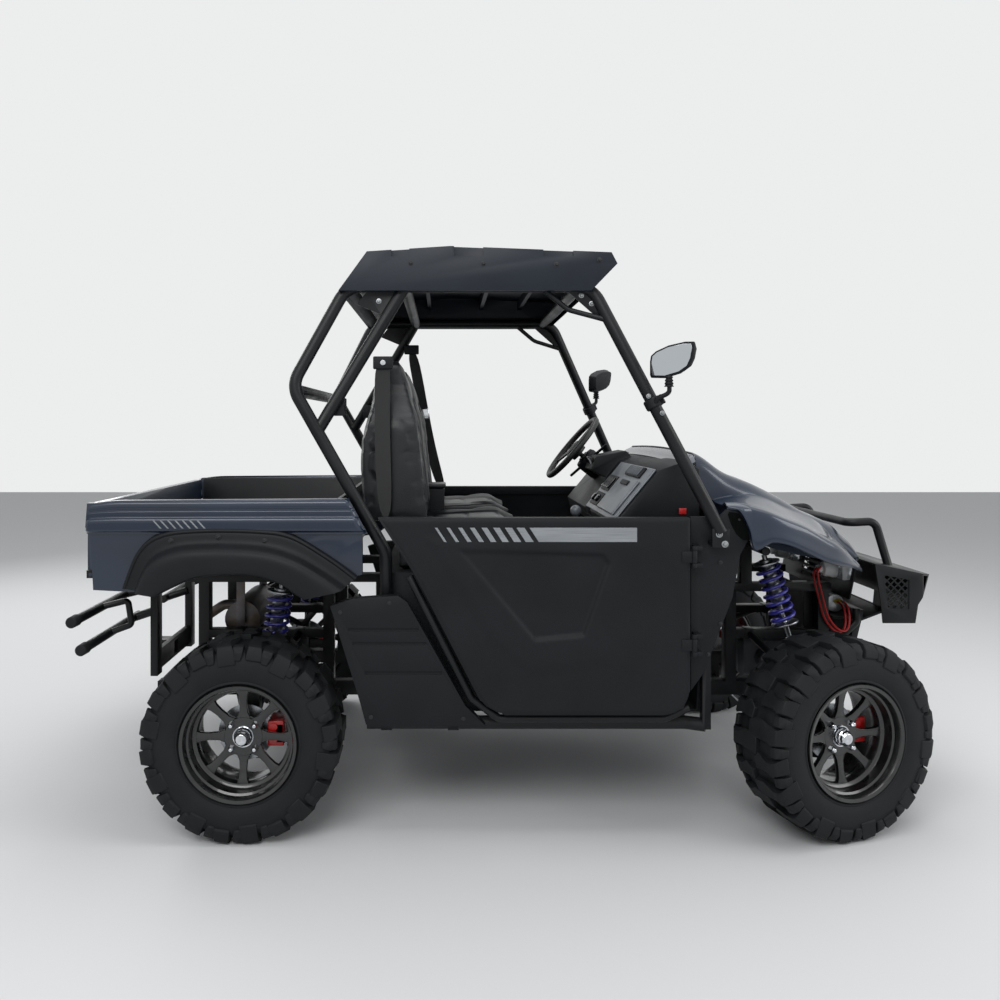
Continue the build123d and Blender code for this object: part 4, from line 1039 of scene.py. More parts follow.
def bolt_heads(name, places, radius, finish, body):
    """Flanged bolt heads facing the vehicle's right at each place, and their mirror images."""
    outline = [(0.0, -0.7 * radius), (0.45 * radius, -0.68 * radius), (0.62 * radius, -0.5 * radius)]
    outline += [(0.64 * radius, -0.22 * radius), (radius, -0.16 * radius), (radius, 0.0), (0.0, 0.0)]
    pattern = turned("bolt", outline, steps=18, crease=40)
    heads = joined(name, [copy_of(pattern, Matrix.Translation(place)) for place in places])
    bpy.data.objects.remove(pattern)
    return finish_piece(with_mirror_image(name, heads), finish, body)


zinc = zinc_plate()
for node in ("roll_cage", "door_frames"):
    dress(node, black_coat)
foot_bolts = [(0.622, -0.7502, 0.998), (0.640, -0.7502, 0.966)]
bolt_heads("cage_foot_bolts", foot_bolts, 0.011, zinc, "chassis")
gusset_bolts = [(-0.485, -0.5782, 1.770), (0.240, -0.5782, 1.762), (0.205, -0.5782, 1.790)]
bolt_heads("gusset_bolts", gusset_bolts, 0.009, zinc, "chassis")

# ---- Roof ----------------------------------------------------------------------------------------
# A hard roof of moulded polyethylene, dark blue-grey, stiffened by four pressed ribs.  It is bolted
# down to the cage's top tubes beside its edge notches.

crest_x, crest_z = -0.242, 1.952
fall_behind, fall_before = 0.064, 0.0386
rib_rear, rib_length = -0.470, 0.725
rib_width, rib_rise, rib_slope = 0.150, 0.005, 0.014
rib_places = (-0.375, -0.125, 0.125, 0.375)


def roof_plastic():
    """Rotationally moulded polyethylene: matt blue-grey with an eggshell skin 3 mm across."""
    finish, tree, shader, place = new_finish("blue_grey_roof_polyethylene")
    skin = add_node(tree, "ShaderNodeTexNoise", {"Vector": place, "Scale": 330.0, "Detail": 2.0})
    fade = add_node(tree, "ShaderNodeTexNoise", {"Vector": place, "Scale": 4.0, "Detail": 5.0})
    bump = add_node(tree, "ShaderNodeBump", {"Height": skin, "Strength": 0.25, "Distance": 0.0008})
    connect(tree, shader, {
        "Base Color": blend_colours(tree, fade, "#161c25", "#1b222c"),
        "Roughness": between(tree, fade, 0.42, 0.55),
        "Specular IOR Level": 0.3,
        "Normal": bump,
    })
    return finish


def shell(name, columns, rows, place, thickness):
    """A moulded shell: a grid whose points are placed by their shares along and up, then given a wall."""
    grid = bpy.ops.mesh.primitive_grid_add
    piece = primitive(name, grid, x_subdivisions=columns, y_subdivisions=rows, size=2)
    for vertex in piece.data.vertices:
        vertex.co = place((vertex.co.x + 1) / 2, (vertex.co.y + 1) / 2)
    apply_modifier(piece, "SOLIDIFY", thickness=thickness, offset=-1.0)
    smooth(piece, 50)
    return piece


def roof_rib_point(along, across):
    """Places a point of one pressed rib on the roof's top, which falls away before and behind its crest."""
    x = rib_rear + rib_length * along
    roof_z = crest_z - (fall_behind if x < crest_x else fall_before) * abs(crest_x - x)
    edge = min(min(along, 1 - along) * rib_length, min(across, 1 - across) * rib_width)
    return x, rib_width * (across - 0.5), roof_z - 0.001 + rib_rise * ease(edge / rib_slope)


moulded_roof = roof_plastic()
dress("roof", moulded_roof, edge=0.008)
rib = shell("roof_rib", 60, 24, roof_rib_point, 0.002)
ribs = [copy_of(rib, Matrix.Translation((0, y, 0))) for y in rib_places]
bpy.data.objects.remove(rib)
finish_piece(joined("roof_ribs", ribs), moulded_roof, "chassis")
roof_bolts = [(-0.375, 1.895), (-0.130, 1.893), (0.117, 1.890), (0.262, 1.905)]
roof_bolts = [(x, -0.6122, z) for x, z in roof_bolts]
bolt_heads("roof_bolts", roof_bolts, 0.009, black_iron, "chassis")

# ---- Doors and side panels -----------------------------------------------------------------------
# Moulded doors hung on two pin hinges, with the panels before and behind them, all in grained black.
# Each door's skin is pressed into a shallow raised shield round its pocket, under a brushed trim strip.

door_face = -0.7452
door_foot, door_top = 0.4155, 1.0475
door_front = 0.528
corner_top, corner_rise, corner_run = 0.500, 0.085, 0.078
rear_edge = [
    # x and level, from the foot of the door's rear edge to its top
    (-0.050, 0.4155), (-0.085, 0.420), (-0.130, 0.445), (-0.150, 0.475), (-0.352, 0.865), (-0.471, 1.048),
]
pocket_corners = [(-0.224, 0.950), (0.252, 0.937), (0.275, 0.905), (0.191, 0.666), (0.027, 0.650)]
shield_corners = [(-0.330, 0.990), (0.345, 0.990), (0.375, 0.960), (0.270, 0.575), (0.010, 0.540)]
shield_corners += [(-0.110, 0.640)]
strip_face, strip_foot, strip_height = -0.7492, 0.9725, 0.046
strip_rear, strip_front = 0.042, 0.358
bar_count, bar_pitch, bar_width, bar_narrowing, bar_slant = 8, 0.0375, 0.026, 0.0025, 0.030
kick_face, cover_face = -0.7052, -0.7202
facing_right = Matrix.Rotation(math.radians(90), 4, "X")


def brushed_strip():
    """Brushed aluminium foil under lacquer: fine lines along its length, 0.3 mm apart, drawn at 1.7 mm."""
    finish, tree, shader, place = new_finish("brushed_aluminium_foil")
    stretch = add_node(tree, "ShaderNodeMapping", {"Vector": place, "Scale": (8.0, 8.0, 600.0)})
    lines = add_node(tree, "ShaderNodeTexNoise", {"Vector": stretch, "Scale": 1.0, "Detail": 2.0})
    connect(tree, shader, {
        "Base Color": blend_colours(tree, lines, "#888c90", "#9da1a5"),
        "Metallic": 0.7,
        "Roughness": between(tree, lines, 0.35, 0.5),
    })
    return finish


def inside_depth(corners, x, z):
    """How far a point lies inside a shield of corners listed clockwise, or minus how far outside."""
    least = 1.0
    for (x0, z0), (x1, z1) in zip(corners, corners[1:] + corners[:1]):
        run = math.hypot(x1 - x0, z1 - z0)
        least = min(least, ((x - x0) * (z0 - z1) + (z - z0) * (x1 - x0)) / -run)
    return least


def at_level(z, points):
    """The X of an outline, given as (x, z) points from bottom to top, at a level."""
    for (x0, z0), (x1, z1) in zip(points, points[1:]):
        if z <= z1:
            return x0 + (x1 - x0) * (z - z0) / (z1 - z0)
    return points[-1][0]


def front_edge(z):
    """The X of the door's front edge at a level, with its rounded lower corner."""
    drop = max(0.0, corner_top - z) / corner_rise
    return door_front - corner_run * (1 - math.sqrt(max(0.0, 1 - drop**2)))


def door_point(along, up):
    """Places a point of the door's outer skin, from its rear edge to its front and from bottom to top."""
    z = door_foot + (door_top - door_foot) * up
    rear, front = at_level(z, rear_edge), front_edge(z)
    x = rear + (front - rear) * along
    shield = ease((inside_depth(shield_corners, x, z) + 0.010) / 0.045)
    pocket = ease(inside_depth(pocket_corners, x, z) / 0.013)
    pocket_depth = 0.0085 - 0.005 * ease((0.15 - x) / 0.35)
    from_edge = min(z - door_foot, door_top - z, x - rear, front - x)
    roll = 0.003 * (1 - ease(from_edge / 0.010))
    y = door_face - 0.0012 - 0.0028 * shield * (1 - pocket) + pocket_depth * pocket + roll
    return x, y, z


def a_side_each(pattern, finish, bodies):
    """Makes a right piece and its mirror image on the left out of a pattern, each on its own body."""
    pieces = []
    for side, turn, body in zip(("right", "left"), (Matrix.Identity(4), mirrored), bodies):
        piece = copy_of(pattern, turn)
        piece.name = pattern.name + "_" + side
        pieces.append(finish_piece(piece, finish, body))
    bpy.data.objects.remove(pattern)
    return pieces


for node in ("door_right", "door_left", "kick_panels", "quarter_panels"):
    dress(node, grained_black, edge=0.003)
brushed = brushed_strip()
skin = shell("door_skin", 150, 96, door_point, 0.0011)
corners = [(strip_rear, 0.0), (strip_front, 0.0), (strip_front, strip_height)]
corners += [(strip_rear - bar_slant, strip_height)]
strips = [plate("strip", corners, 0.0012, 0.0004)]
for number in range(bar_count):
    x = -bar_pitch * number
    end = x + bar_width - bar_narrowing * number
    corners = [(x, 0.0), (end, 0.0), (end - bar_slant, strip_height), (x - bar_slant, strip_height)]
    strips.append(plate("bar", corners, 0.0012, 0.0004))
strip = joined("door_strip", strips)
strip.data.transform(Matrix.Translation((0, strip_face, strip_foot)) @ facing_right)
a_side_each(skin, grained_black, ("door_right", "door_left"))
a_side_each(strip, brushed, ("door_right", "door_left"))
panel_bolts = [(x, kick_face, z) for x, z in ((0.640, 0.900), (0.640, 0.700), (0.600, 0.600), (0.700, 1.040))]
bolt_heads("kick_panel_bolts", panel_bolts, 0.007, black_iron, "chassis")
cover_bolts = [(-0.600, 0.740), (-0.440, 0.770), (-0.500, 0.400), (-0.200, 0.395)]
cover_bolts = [(x, cover_face, z) for x, z in cover_bolts]
bolt_heads("quarter_panel_bolts", cover_bolts, 0.007, black_iron, "chassis")

# ---- Cargo bed -----------------------------------------------------------------------------------
# A pressed steel box in satin black between moulded sides painted slate blue, each with a rolled rail
# and a raised waistband.  Wide matt flares bolt over the wheel arches, and a pull latch opens the gate.

rail_rear, rail_front = -1.438, -0.548
rail_profile = [
    # distance out and level, from the rail's foot over the waistband and the roll to its top
    (0.6985, 0.992), (0.7000, 0.998), (0.7055, 1.003), (0.7065, 1.010), (0.7065, 1.026), (0.7060, 1.038),
    (0.7030, 1.044), (0.6990, 1.048), (0.6985, 1.056), (0.6990, 1.066), (0.6970, 1.070), (0.6970, 1.074),
    (0.6995, 1.078), (0.7000, 1.086), (0.6985, 1.096), (0.6930, 1.104), (0.6840, 1.107), (0.6700, 1.107),
]
slant_rear, slant_foot, slant_top = -1.190, 1.011, 1.037
slant_count, slant_pitch, slant_width, slant_lean = 7, 0.024, 0.006, 0.024
band_face, flare_face = -0.7068, -0.7135
flare_root = [
    # x and level along the flare's root, then along its ridge and its lip
    (-1.312, 0.815), (-1.262, 0.935), (-1.188, 0.992), (-1.050, 1.008),
    (-0.876, 1.006), (-0.765, 0.990), (-0.640, 0.918), (-0.548, 0.850),
]
flare_ridge = [
    (-1.254, 0.808), (-1.212, 0.893), (-1.145, 0.932), (-1.046, 0.946),
    (-0.867, 0.941), (-0.755, 0.914), (-0.665, 0.865), (-0.592, 0.815),
]
flare_edge = [
    (-1.193, 0.799), (-1.130, 0.830), (-1.057, 0.860), (-0.960, 0.869),
    (-0.867, 0.866), (-0.790, 0.840), (-0.735, 0.803), (-0.714, 0.790),
]
ridge_share = 0.55
flare_section = [
    # share from root to ridge to edge, y
    (0.00, 0.690), (0.01, 0.704), (0.05, 0.709), (0.10, 0.706), (0.16, 0.708), (0.34, 0.712), (0.44, 0.720),
    (0.52, 0.742), (0.58, 0.758), (0.66, 0.764), (0.80, 0.765), (0.93, 0.764), (0.99, 0.758), (1.00, 0.735),
]


def slate_paint():
    """Paint on moulded plastic: dark slate blue with 0.1 mm flake, drawn at 1 mm, under clear lacquer."""
    finish, tree, shader, place = new_finish("slate_blue_paint")
    flake = add_node(tree, "ShaderNodeTexVoronoi", {"Vector": place, "Scale": 900.0})
    tone = add_node(tree, "ShaderNodeTexNoise", {"Vector": place, "Scale": 3.0, "Detail": 3.0})
    bump = add_node(tree, "ShaderNodeBump", {"Height": flake, "Strength": 0.04, "Distance": 0.0005})
    connect(tree, shader, {
        "Base Color": blend_colours(tree, tone, "#152031", "#1a283b"),
        "Roughness": between(tree, flake, 0.28, 0.4),
        "Metallic": 0.25,
        "Coat Weight": 0.5,
        "Coat Roughness": 0.07,
        "Normal": bump,
    })
    return finish


def through(points, share):
    """A point a share of the way along a smooth curve through a row of points."""
    last = len(points) - 1
    number = min(int(share * last), last - 1)
    part = share * last - number
    before, start, end, after = [points[max(0, min(last, number + step))] for step in (-1, 0, 1, 2)]
    value = []
    for a, b, c, d in zip(before, start, end, after):
        curve = (2 * a - 5 * b + 4 * c - d) * part**2 + (3 * b - a - 3 * c + d) * part**3
        value.append(b + ((c - a) * part + curve) / 2)
    return value


def rail_point(along, up):
    """Places a point of the bed side's rail and waistband, from its foot to its rolled top."""
    y, z = through(rail_profile, up)
    lean = (z - 1.055) * (0.010 if along < 0.5 else -0.55)
    x = rail_rear + (rail_front - rail_rear) * along + lean * abs(2 * along - 1) ** 3
    tuck = 0.016 * max(0.0, 1 - min(along, (1 - along)) * 60) ** 2
    droop = 0.013 * max(0.0, 1 - along * 7) ** 2 + 0.006 * (1 - along)
    return x, tuck - y, z - droop * up


def flare_point(along, up):
    """Places a point of a flare: out from the bed side, over its shoulder and down to the rolled lip."""
    share, y = through(flare_section, up)
    root, ridge, edge = [through(row, along) for row in (flare_root, flare_ridge, flare_edge)]
    if share < ridge_share:
        start, end, part = root, ridge, share / ridge_share
    else:
        start, end, part = ridge, edge, (share - ridge_share) / (1 - ridge_share)
    x, z = [a + (b - a) * part for a, b in zip(start, end)]
    return x, -y, z


slate = slate_paint()
dress("bed_tub", black_coat)
for node in ("bed_sides", "tailgate"):
    dress(node, slate, edge=0.004)
rail = shell("bed_rail", 120, 60, rail_point, 0.002)
flare = shell("bed_flare", 120, 50, flare_point, 0.003)
slants = []
for number in range(slant_count):
    x = slant_rear + slant_pitch * number
    end = x + slant_width
    corners = [(x, slant_foot), (end, slant_foot), (end - slant_lean, slant_top), (x - slant_lean, slant_top)]
    slants.append(plate("slant", corners, 0.0006))
slants = joined("bed_slants", slants)
slants.data.transform(Matrix.Translation((0, band_face, 0)) @ facing_right)
a_side_each(rail, slate, ("bed", "bed"))
flares = a_side_each(flare, grained_black, ("bed", "bed"))
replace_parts(flares[0], "bed_flares")
a_side_each(slants, brushed, ("bed", "bed"))
flare_bolts = [(x, flare_face, z) for x, z in ((-1.151, 0.972), (-0.998, 0.984), (-0.847, 0.972))]
bolt_heads("flare_bolts", flare_bolts, 0.009, black_iron, "bed")
latch = block("tailgate_latch", (-1.460, -0.075, 1.000), (-1.452, 0.075, 1.050), 0.003)
finish_piece(latch, black_coat, "tailgate")

# ---- Bonnet, wings and lamps ---------------------------------------------------------------------
# A moulded bonnet and arched wings, smooth through their sections and painted like the bed's sides.
# Clear lamps with white reflector cups fill the nose, and a slatted vent opens behind each wing.

bonnet_rear, nose = 0.606, 1.265
crown_share, corner_share = 0.55, 0.75
lamp_middle = (1.218, -0.2375, 0.804)
vent_face = -0.7062
bonnet_sections = [
    # half width, foot, top, corner, at even shares of the length
    (0.545, 1.130, 1.262, 0.050),
    (0.535, 1.005, 1.193, 0.060),
    (0.515, 0.950, 1.150, 0.070),
    (0.470, 0.915, 1.100, 0.080),
    (0.430, 0.888, 1.041, 0.080),
    (0.385, 0.871, 0.994, 0.070),
    (0.325, 0.862, 0.915, 0.035),
]
wing_sections = [
    # x, arch, ridge, outer y, shoulder, inner y
    (0.664, 1.080, 1.085, 0.704, 1.092, 0.540),
    (0.698, 1.066, 1.086, 0.719, 1.099, 0.538),
    (0.724, 1.010, 1.083, 0.728, 1.103, 0.535),
    (0.742, 0.942, 1.076, 0.733, 1.106, 0.530),
    (0.797, 0.966, 1.060, 0.733, 1.105, 0.520),
    (0.860, 0.955, 1.035, 0.720, 1.090, 0.500),
    (0.930, 0.924, 1.008, 0.696, 1.060, 0.478),
    (1.000, 0.893, 0.972, 0.665, 1.033, 0.456),
    (1.060, 0.877, 0.942, 0.633, 1.005, 0.438),
    (1.120, 0.862, 0.903, 0.582, 0.960, 0.414),
    (1.190, 0.836, 0.859, 0.500, 0.900, 0.380),
]


def lamp_lens():
    """Clear polycarbonate, injection moulded: glassy, with a faint haze some 12 mm across."""
    finish, tree, shader, place = new_finish("clear_polycarbonate_lens")
    haze = add_node(tree, "ShaderNodeTexNoise", {"Vector": place, "Scale": 80.0, "Detail": 2.0})
    connect(tree, shader, {
        "Base Color": to_linear("#dfe4e8"),
        "Roughness": between(tree, haze, 0.04, 0.1),
        "IOR": 1.585,
        "Transmission Weight": 0.7,
    })
    return finish


def coloured_plastic(name, first, second):
    """Plain moulded or extruded plastic in one colour, dulled here and there by dust."""
    finish, tree, shader, place = new_finish(name)
    dust = add_node(tree, "ShaderNodeTexNoise", {"Vector": place, "Scale": 30.0, "Detail": 4.0})
    connect(tree, shader, {
        "Base Color": blend_colours(tree, dust, first, second),
        "Roughness": between(tree, dust, 0.35, 0.5),
    })
    return finish


def duct_shadow():
    """Painted shade for the inside of a duct: a flat near-black, mottled at random, that stands in for the
    shadowed opening.
    """
    finish, tree, shader, place = new_finish("painted_shade_duct")
    shade_mottle = add_node(tree, "ShaderNodeTexNoise", {"Vector": place, "Scale": 60.0, "Detail": 3.0})
    # painted shade: near-black colour standing in for the unlit inside of the duct
    connect(tree, shader, {
        "Base Color": blend_colours(tree, shade_mottle, "#020303", "#060707"),
        "Roughness": 0.9,
        "Specular IOR Level": 0.1,
    })
    return finish


def bonnet_point(along, across):
    """Places a point of the bonnet, round from its right foot over the crown to its left foot."""
    half, foot, top, corner = through(bonnet_sections, along)
    side = -1 if across < 0.5 else 1
    turn = abs(2 * across - 1)
    x = bonnet_rear + (nose - bonnet_rear) * along
    if turn < crown_share:
        y, z = (half - corner) * turn / crown_share, top
    elif turn < corner_share:
        angle = math.radians(90) * (turn - crown_share) / (corner_share - crown_share)
        y, z = half - corner * (1 - math.sin(angle)), top - corner * (1 - math.cos(angle))
    else:
        down = (turn - corner_share) / (1 - corner_share)
        y, z = half, top - corner - (top - corner - foot) * down
    ridge = 0.006 * math.exp(-(((y - 0.62 * half) / 0.022) ** 2)) * math.sin(math.pi * along)
    crown = -0.012 * (y / half) ** 2
    nose_roll = -0.020 * max(0.0, (along - 0.94) / 0.06) ** 2
    return x, side * y, z + crown + ridge + nose_roll * (z > foot + 0.01)


def wing_point(along, up):
    """Places a point of the right wing: from its inner lip round the arch and over the ridge inwards."""
    x, arch, ridge, outer, shoulder, inner = through(wing_sections, along)
    side, slope = ridge - arch, shoulder - ridge
    row = [(outer - 0.022, arch + 0.004), (outer - 0.004, arch), (outer + 0.002, arch + 0.12 * side)]
    row += [(outer, arch + 0.5 * side), (outer - 0.003, ridge - 0.012), (outer - 0.012, ridge)]
    row += [(outer - 0.035, ridge + 0.008), (0.6 * outer + 0.4 * inner, ridge + 0.38 * slope - 0.004)]
    row += [(inner + 0.02, shoulder - 0.006), (inner - 0.004, shoulder + 0.004)]
    y, z = through(row, up)
    return x + 0.010 * along * (1 - up), -y, z


def cowl_point(along, across):
    """Places a point of the painted cowl between the dashboard's top and the bonnet's rear edge."""
    y = 1.08 * across - 0.54
    x, z = through([(0.545, 1.226), (0.560, 1.233), (0.580, 1.246), (0.602, 1.256), (0.612, 1.256)], along)
    return x, y, z - 0.012 * (y / 0.54) ** 2 - 0.024 * max(0.0, (abs(y) - 0.50) / 0.04) ** 2


dress("front_fascia", grained_black, edge=0.002)
bonnet = shell("bonnet", 90, 120, bonnet_point, 0.003)
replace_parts(finish_piece(bonnet, slate, "chassis"), "hood")
wing = shell("wing_right", 90, 50, wing_point, 0.003)
wings = with_mirror_image("wings", wing)
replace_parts(finish_piece(wings, slate, "chassis"), "front_fenders")
finish_piece(shell("cowl", 12, 60, cowl_point, 0.002), slate, "chassis")
lens = lamp_lens()
# painted shade: the flat near-black finish that stands in for the shadowed vent openings behind the wings
duct = duct_shadow()
dress("headlights", lens, edge=0.003)
rows = [(0.0, -0.068), (0.014, -0.068), (0.016, -0.052), (0.026, -0.046), (0.033, -0.010)]
bucket = turned("bucket", rows + [(0.033, 0.0), (0.0, 0.0)], steps=36)
bucket.data.transform(Matrix.Translation(lamp_middle) @ Matrix.Rotation(math.radians(-90), 4, "Z"))
white_nylon = coloured_plastic("white_lamp_nylon", "#c4c6c6", "#d4d6d6")
finish_piece(with_mirror_image("lamp_buckets", bucket), white_nylon, "chassis")

# The vent behind each wing: a dark opening with upright slats, in the panel below the cage's foot, made as a
# plate and slats in flat near-black painted shade.
vent_slats, slat_pitch, slat_width, slat_top = 5, 0.011, 0.002, 1.052
outline = [(0.668, 1.066), (0.700, 1.060), (0.722, 1.030), (0.734, 0.985), (0.734, 0.972)]
outline += [(0.712, 0.974), (0.692, 0.992), (0.674, 1.026), (0.664, 1.056)]
vent = [plate("vent", outline, 0.002, 0.0006)]
for number in range(vent_slats):
    x = 0.678 + slat_pitch * number
    foot = 1.026 - slat_pitch * number
    corners = [(x, foot), (x + slat_width, foot), (x + slat_width, slat_top), (x, slat_top)]
    vent.append(plate("slat", corners, 0.004))
vent = joined("wing_vents", vent)
vent.data.transform(Matrix.Translation((0, vent_face, 0)) @ facing_right)
finish_piece(with_mirror_image("wing_vents", vent), duct, "chassis")

# ---- Bumpers and winch ---------------------------------------------------------------------------
# Folded and welded steel in the chassis's powder coat, with a satin aluminium winch, its wire rope and
# two red power cables.  Rubber caps close the ends of the rear bumper's tubes.

winch_middle = (1.258, 0, 0.655)
drum_half, drum_radius = 0.055, 0.024
rope_width = 0.005
cable_width = 0.008
second_cable = (0.010, -0.011, 0.006)
cable_route = [
    (1.150, -0.240, 0.806), (1.128, -0.252, 0.800), (1.134, -0.264, 0.745), (1.148, -0.264, 0.690),
    (1.163, -0.266, 0.625), (1.195, -0.268, 0.580), (1.232, -0.266, 0.566), (1.256, -0.246, 0.592),
    (1.258, -0.238, 0.640), (1.258, -0.205, 0.668), (1.258, -0.156, 0.662),
]
bumper_tubes = [(-1.482, 0.702), (-1.451, 0.611)]
tube_end = 0.690


def satin_aluminium():
    """Cast aluminium, bead blasted and anodised clear: an even satin, with 0.5 mm grain drawn at 2.5 mm."""
    finish, tree, shader, place = new_finish("satin_anodised_aluminium")
    blast = add_node(tree, "ShaderNodeTexNoise", {"Vector": place, "Scale": 400.0, "Detail": 2.0})
    bump = add_node(tree, "ShaderNodeBump", {"Height": blast, "Strength": 0.2, "Distance": 0.0004})
    connect(tree, shader, {
        "Base Color": blend_colours(tree, blast, "#9fa2a6", "#b4b7bb"),
        "Metallic": 1.0,
        "Roughness": between(tree, blast, 0.3, 0.42),
        "Normal": bump,
    })
    return finish


def cable(name, route, width):
    """A flexible cable: one smooth curve along its route, of its real width."""
    line = bpy.data.curves.new(name, "CURVE")
    line.dimensions = "3D"
    line.bevel_depth = width / 2
    line.bevel_resolution = 6
    line.resolution_u = 12
    spline = line.splines.new("NURBS")
    spline.points.add(len(route) - 1)
    for point, where in zip(spline.points, route):
        point.co = (*where, 1)
    spline.order_u = 3
    spline.use_endpoint_u = True
    piece = bpy.data.objects.new(name, line)
    bpy.context.scene.collection.objects.link(piece)
    return piece


aluminium = satin_aluminium()
red_vinyl = coloured_plastic("red_cable_vinyl", "#a31515", "#b81d1a")
yellow_vinyl = coloured_plastic("yellow_terminal_vinyl", "#c9b61e", "#d8c72c")
for node in ("front_bumper", "rear_bumper"):
    dress(node, black_coat, edge=0.002)
dress("winch", aluminium, edge=0.003)

turns = int(2 * drum_half / rope_width)
bottom = drum_radius - 0.002
windings = [(bottom, -drum_half)]
for number in range(turns):
    start = -drum_half + number * rope_width
    for share in (0.0, 0.25, 0.5, 0.75):
        rise = rope_width * (0.4 + 0.6 * math.sin(math.pi * share))
        windings.append((drum_radius + rise, start + share * rope_width))
windings += [(bottom, drum_half), (bottom, -drum_half)]
rope = turned("winch_rope", windings, steps=48)
rope.data.transform(Matrix.Translation(winch_middle))
finish_piece(rope, bright_steel, "chassis")

for number, shift in ((1, (0.0, 0.0, 0.0)), (2, second_cable)):
    route = [tuple(a + b for a, b in zip(where, shift)) for where in cable_route]
    red_cable = cable(f"winch_cable_{number}", route, cable_width)
    finish_piece(red_cable, red_vinyl, "chassis")
    rows = [(0.0, -0.014), (0.006, -0.014), (0.007, 0.014), (0.0, 0.014)]
    sleeve = turned(f"terminal_sleeve_{number}", rows, steps=20)
    sleeve.data.transform(Matrix.Translation(route[-1]))
    finish_piece(sleeve, yellow_vinyl, "chassis")

rows = [(0.0, -0.016), (0.014, -0.015), (0.0185, -0.011), (0.0195, 0.030), (0.0165, 0.031), (0.0, 0.031)]
cap = turned("cap", rows, steps=32)
caps = [copy_of(cap, Matrix.Translation((x, -tube_end, z))) for x, z in bumper_tubes]
bpy.data.objects.remove(cap)
caps = with_mirror_image("bumper_end_caps", joined("bumper_end_caps", caps))
finish_piece(caps, rubber, "chassis")

# ---- Mirrors -------------------------------------------------------------------------------------
# Moulded mirror shells with bevelled rims round silvered glass.  Each stands on a cranked stalk in a
# ribbed rubber boot, clamped to a front pillar of the cage with two bolts.

mirror_middle = (0.495, -0.690, 1.560)
mirror_turn = math.radians(40)
mirror_outline = [
    # across and up, round the right mirror as it is seen from behind
    (-0.084, -0.054), (-0.030, -0.057), (0.030, -0.044), (0.064, -0.024), (0.079, 0.004), (0.087, 0.042),
    (0.083, 0.056), (0.050, 0.058), (-0.014, 0.050), (-0.064, 0.034), (-0.084, 0.020), (-0.088, 0.0),
    (-0.088, -0.044),
]
stalk_width = 0.015
stalk_route = [
    (0.433, -0.676, 1.422), (0.440, -0.686, 1.438), (0.474, -0.700, 1.452), (0.474, -0.702, 1.475),
    (0.472, -0.700, 1.512),
]
boot_foot = (0.473, -0.700, 1.474)
clamp_middle = (0.4322, -0.6531, 1.420)
pillar_direction = (0.391, -0.174, -0.822)


def silvered_glass():
    """Float glass silvered on its back: a clear mirror, a little smeared."""
    finish, tree, shader, place = new_finish("silvered_mirror_glass")
    smear = add_node(tree, "ShaderNodeTexNoise", {"Vector": place, "Scale": 25.0, "Detail": 4.0})
    connect(tree, shader, {
        "Base Color": to_linear("#b9bec2"),
        "Metallic": 1.0,
        "Roughness": between(tree, smear, 0.02, 0.07),
    })
    return finish


back = plate("mirror_shell", mirror_outline, 0.034, 0.007, 3)
for vertex in back.data.vertices:
    if vertex.co.z < 0:
        vertex.co.x *= 0.86
        vertex.co.y *= 0.84
rim_outer = plate("mirror_rim", mirror_outline, 0.010, 0.003, 2)
rim_outer.data.transform(Matrix.Translation((0, 0, 0.013)))
glass_outline = [(x * 0.9, y * 0.87 + 0.0005) for x, y in mirror_outline]
glass = plate("mirror_glass", glass_outline, 0.0016, 0.0006)
glass.data.transform(Matrix.Translation((0, 0, 0.0186)))
housing = joined("mirror_shells", [back, rim_outer])
across, up = Vector((math.sin(mirror_turn), -math.cos(mirror_turn), 0)), Vector((0, 0, 1))
mirror_matrix = standing(across, up, across.cross(up), mirror_middle)
for piece in (housing, glass):
    piece.data.transform(mirror_matrix)
stalk = cable("stalk", stalk_route, stalk_width)
only(stalk)
bpy.ops.object.convert(target="MESH")
rows = [(0.0, 0.0), (0.016, 0.0), (0.012, 0.006), (0.015, 0.010), (0.011, 0.016)]
rows += [(0.014, 0.020), (0.010, 0.026), (0.013, 0.030), (0.0095, 0.036), (0.0, 0.036)]
boot = turned("boot", rows, steps=32)
boot.data.transform(Matrix.Translation(boot_foot) @ facing_right)
rows = [(0.0215, -0.017), (0.026, -0.017), (0.029, -0.013), (0.029, 0.013), (0.026, 0.017), (0.0215, 0.017)]
band = turned("clamp", rows + rows[:1], steps=40)
clamp_lug = block("clamp_lug", (-0.011, -0.016, 0.024), (0.011, 0.016, 0.038), 0.003)
clamp = joined("clamp", [band, clamp_lug])
pillar_turn = Vector(pillar_direction).to_track_quat("Y", "Z").to_matrix().to_4x4()
clamp.data.transform(Matrix.Translation(clamp_middle) @ pillar_turn)
shells = with_mirror_image("mirror_shells", joined("mirror_shells", [housing, stalk, boot, clamp]))
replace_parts(finish_piece(shells, grained_black, "chassis"), "mirrors")
finish_piece(with_mirror_image("mirror_glasses", glass), silvered_glass(), "chassis")
clamp_bolts = [(0.4120, -0.6735, 1.444), (0.4530, -0.6905, 1.388)]
bolt_heads("mirror_clamp_bolts", clamp_bolts, 0.008, zinc, "chassis")

# ---- Stage ---------------------------------------------------------------------------------------
# A pale floor and backdrop, soft light from wide overhead panels, and a level camera at the side.

camera_place = (-0.2595, -3.6, 1.352)
camera_lens = 31.93
camera_shift = (0.055, -0.076)
floor_half = 14.0


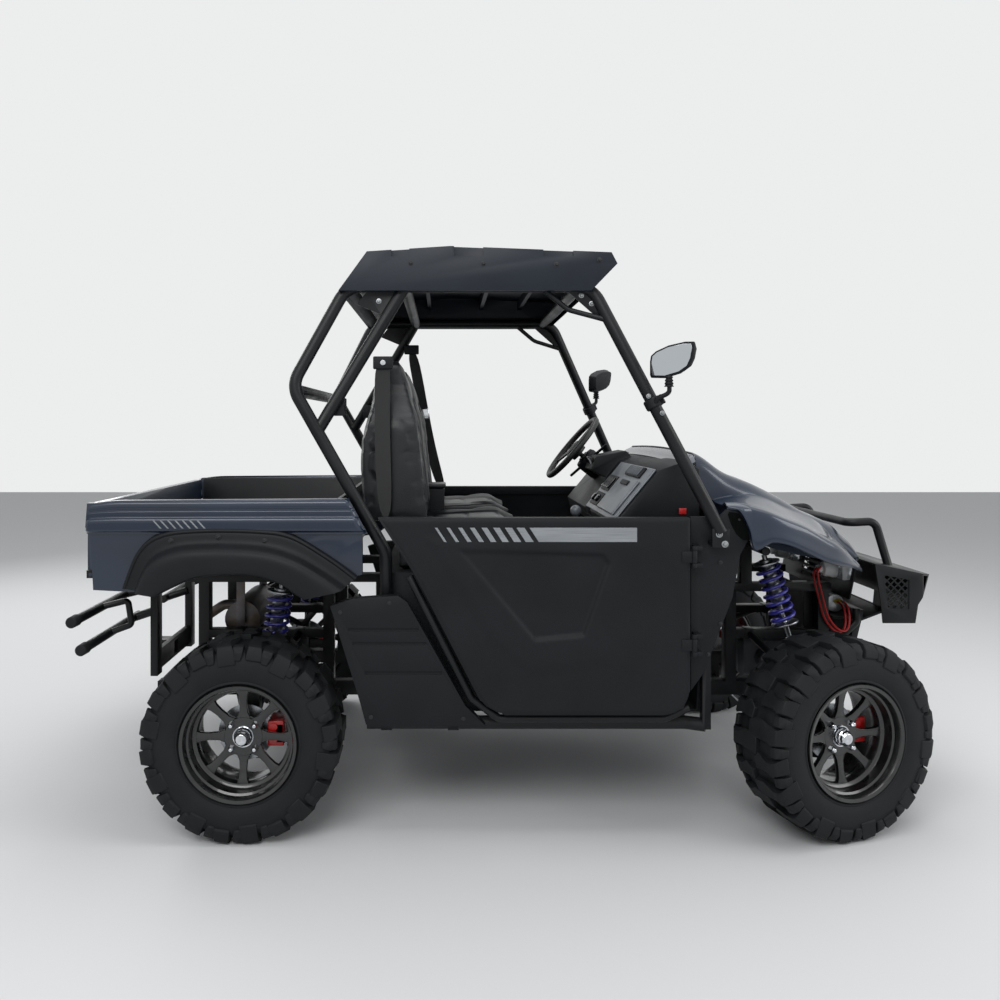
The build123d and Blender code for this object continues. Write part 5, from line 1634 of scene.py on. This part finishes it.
def pale_background(tree, world_output, plain, seen):
    """Shows the seen shader to the camera and in reflections, and the plain one to all other rays."""
    path = add_node(tree, "ShaderNodeLightPath", {})
    shown = path.outputs["Is Camera Ray"]
    for ray in ("Is Glossy Ray", "Is Transmission Ray"):
        inputs = {0: shown, 1: path.outputs[ray]}
        shown = add_node(tree, "ShaderNodeMath", inputs, operation="MAXIMUM")
    mix = add_node(tree, "ShaderNodeMixShader", {"Fac": shown, 1: plain, 2: seen})
    connect(tree, world_output, {"Surface": mix})


world = bpy.data.worlds.new("soft_studio")
bpy.context.scene.world = world
world.use_nodes = True
tree = world.node_tree
tree.nodes.clear()
world_output = add_node(tree, "ShaderNodeOutputWorld", {})
soft = add_node(tree, "ShaderNodeBackground", {"Color": to_linear("#f4f6f8"), "Strength": 0.42})
pale = add_node(tree, "ShaderNodeBackground", {"Color": to_linear("#eceded"), "Strength": 1.0})
pale_background(tree, world_output, soft, pale)

floor = primitive("studio_floor", bpy.ops.mesh.primitive_plane_add, size=2 * floor_half)
finish, tree, shader, place = new_finish("pale_studio_floor")
connect(tree, shader, {"Base Color": to_linear("#d9dadb"), "Roughness": 0.75, "Specular IOR Level": 0.2})
floor.data.materials.append(finish)

panels = [
    # name, place, aim, width, height, power
    ("key_panel", (-1.5, -5.0, 4.6), (0, 0, 0.9), 4.0, 2.4, 165),
    ("top_panel", (0.5, 0.3, 5.2), (0, 0, 0), 5.0, 3.5, 130),
    ("front_panel", (5.2, -2.0, 2.6), (0.3, 0, 0.8), 3.0, 2.2, 78),
    ("back_panel", (-4.2, 3.6, 3.4), (0, 0, 1.0), 3.0, 2.2, 78),
]
for name, where, aim, width, height, power in panels:
    light = bpy.data.lights.new(name, "AREA")
    light.shape = "RECTANGLE"
    light.size = width
    light.size_y = height
    light.energy = power
    lamp = bpy.data.objects.new(name, light)
    lamp.location = where
    lamp.rotation_euler = (Vector(aim) - Vector(where)).to_track_quat("-Z", "Y").to_euler()
    bpy.context.scene.collection.objects.link(lamp)

camera_data = bpy.data.cameras.new("side_camera")
camera_data.lens = camera_lens
camera_data.shift_x, camera_data.shift_y = camera_shift
camera = bpy.data.objects.new("side_camera", camera_data)
camera.location = camera_place
camera.rotation_euler = (math.radians(90), 0, 0)
bpy.context.scene.collection.objects.link(camera)
bpy.context.scene.camera = camera
bpy.context.scene.view_settings.view_transform = "Standard"
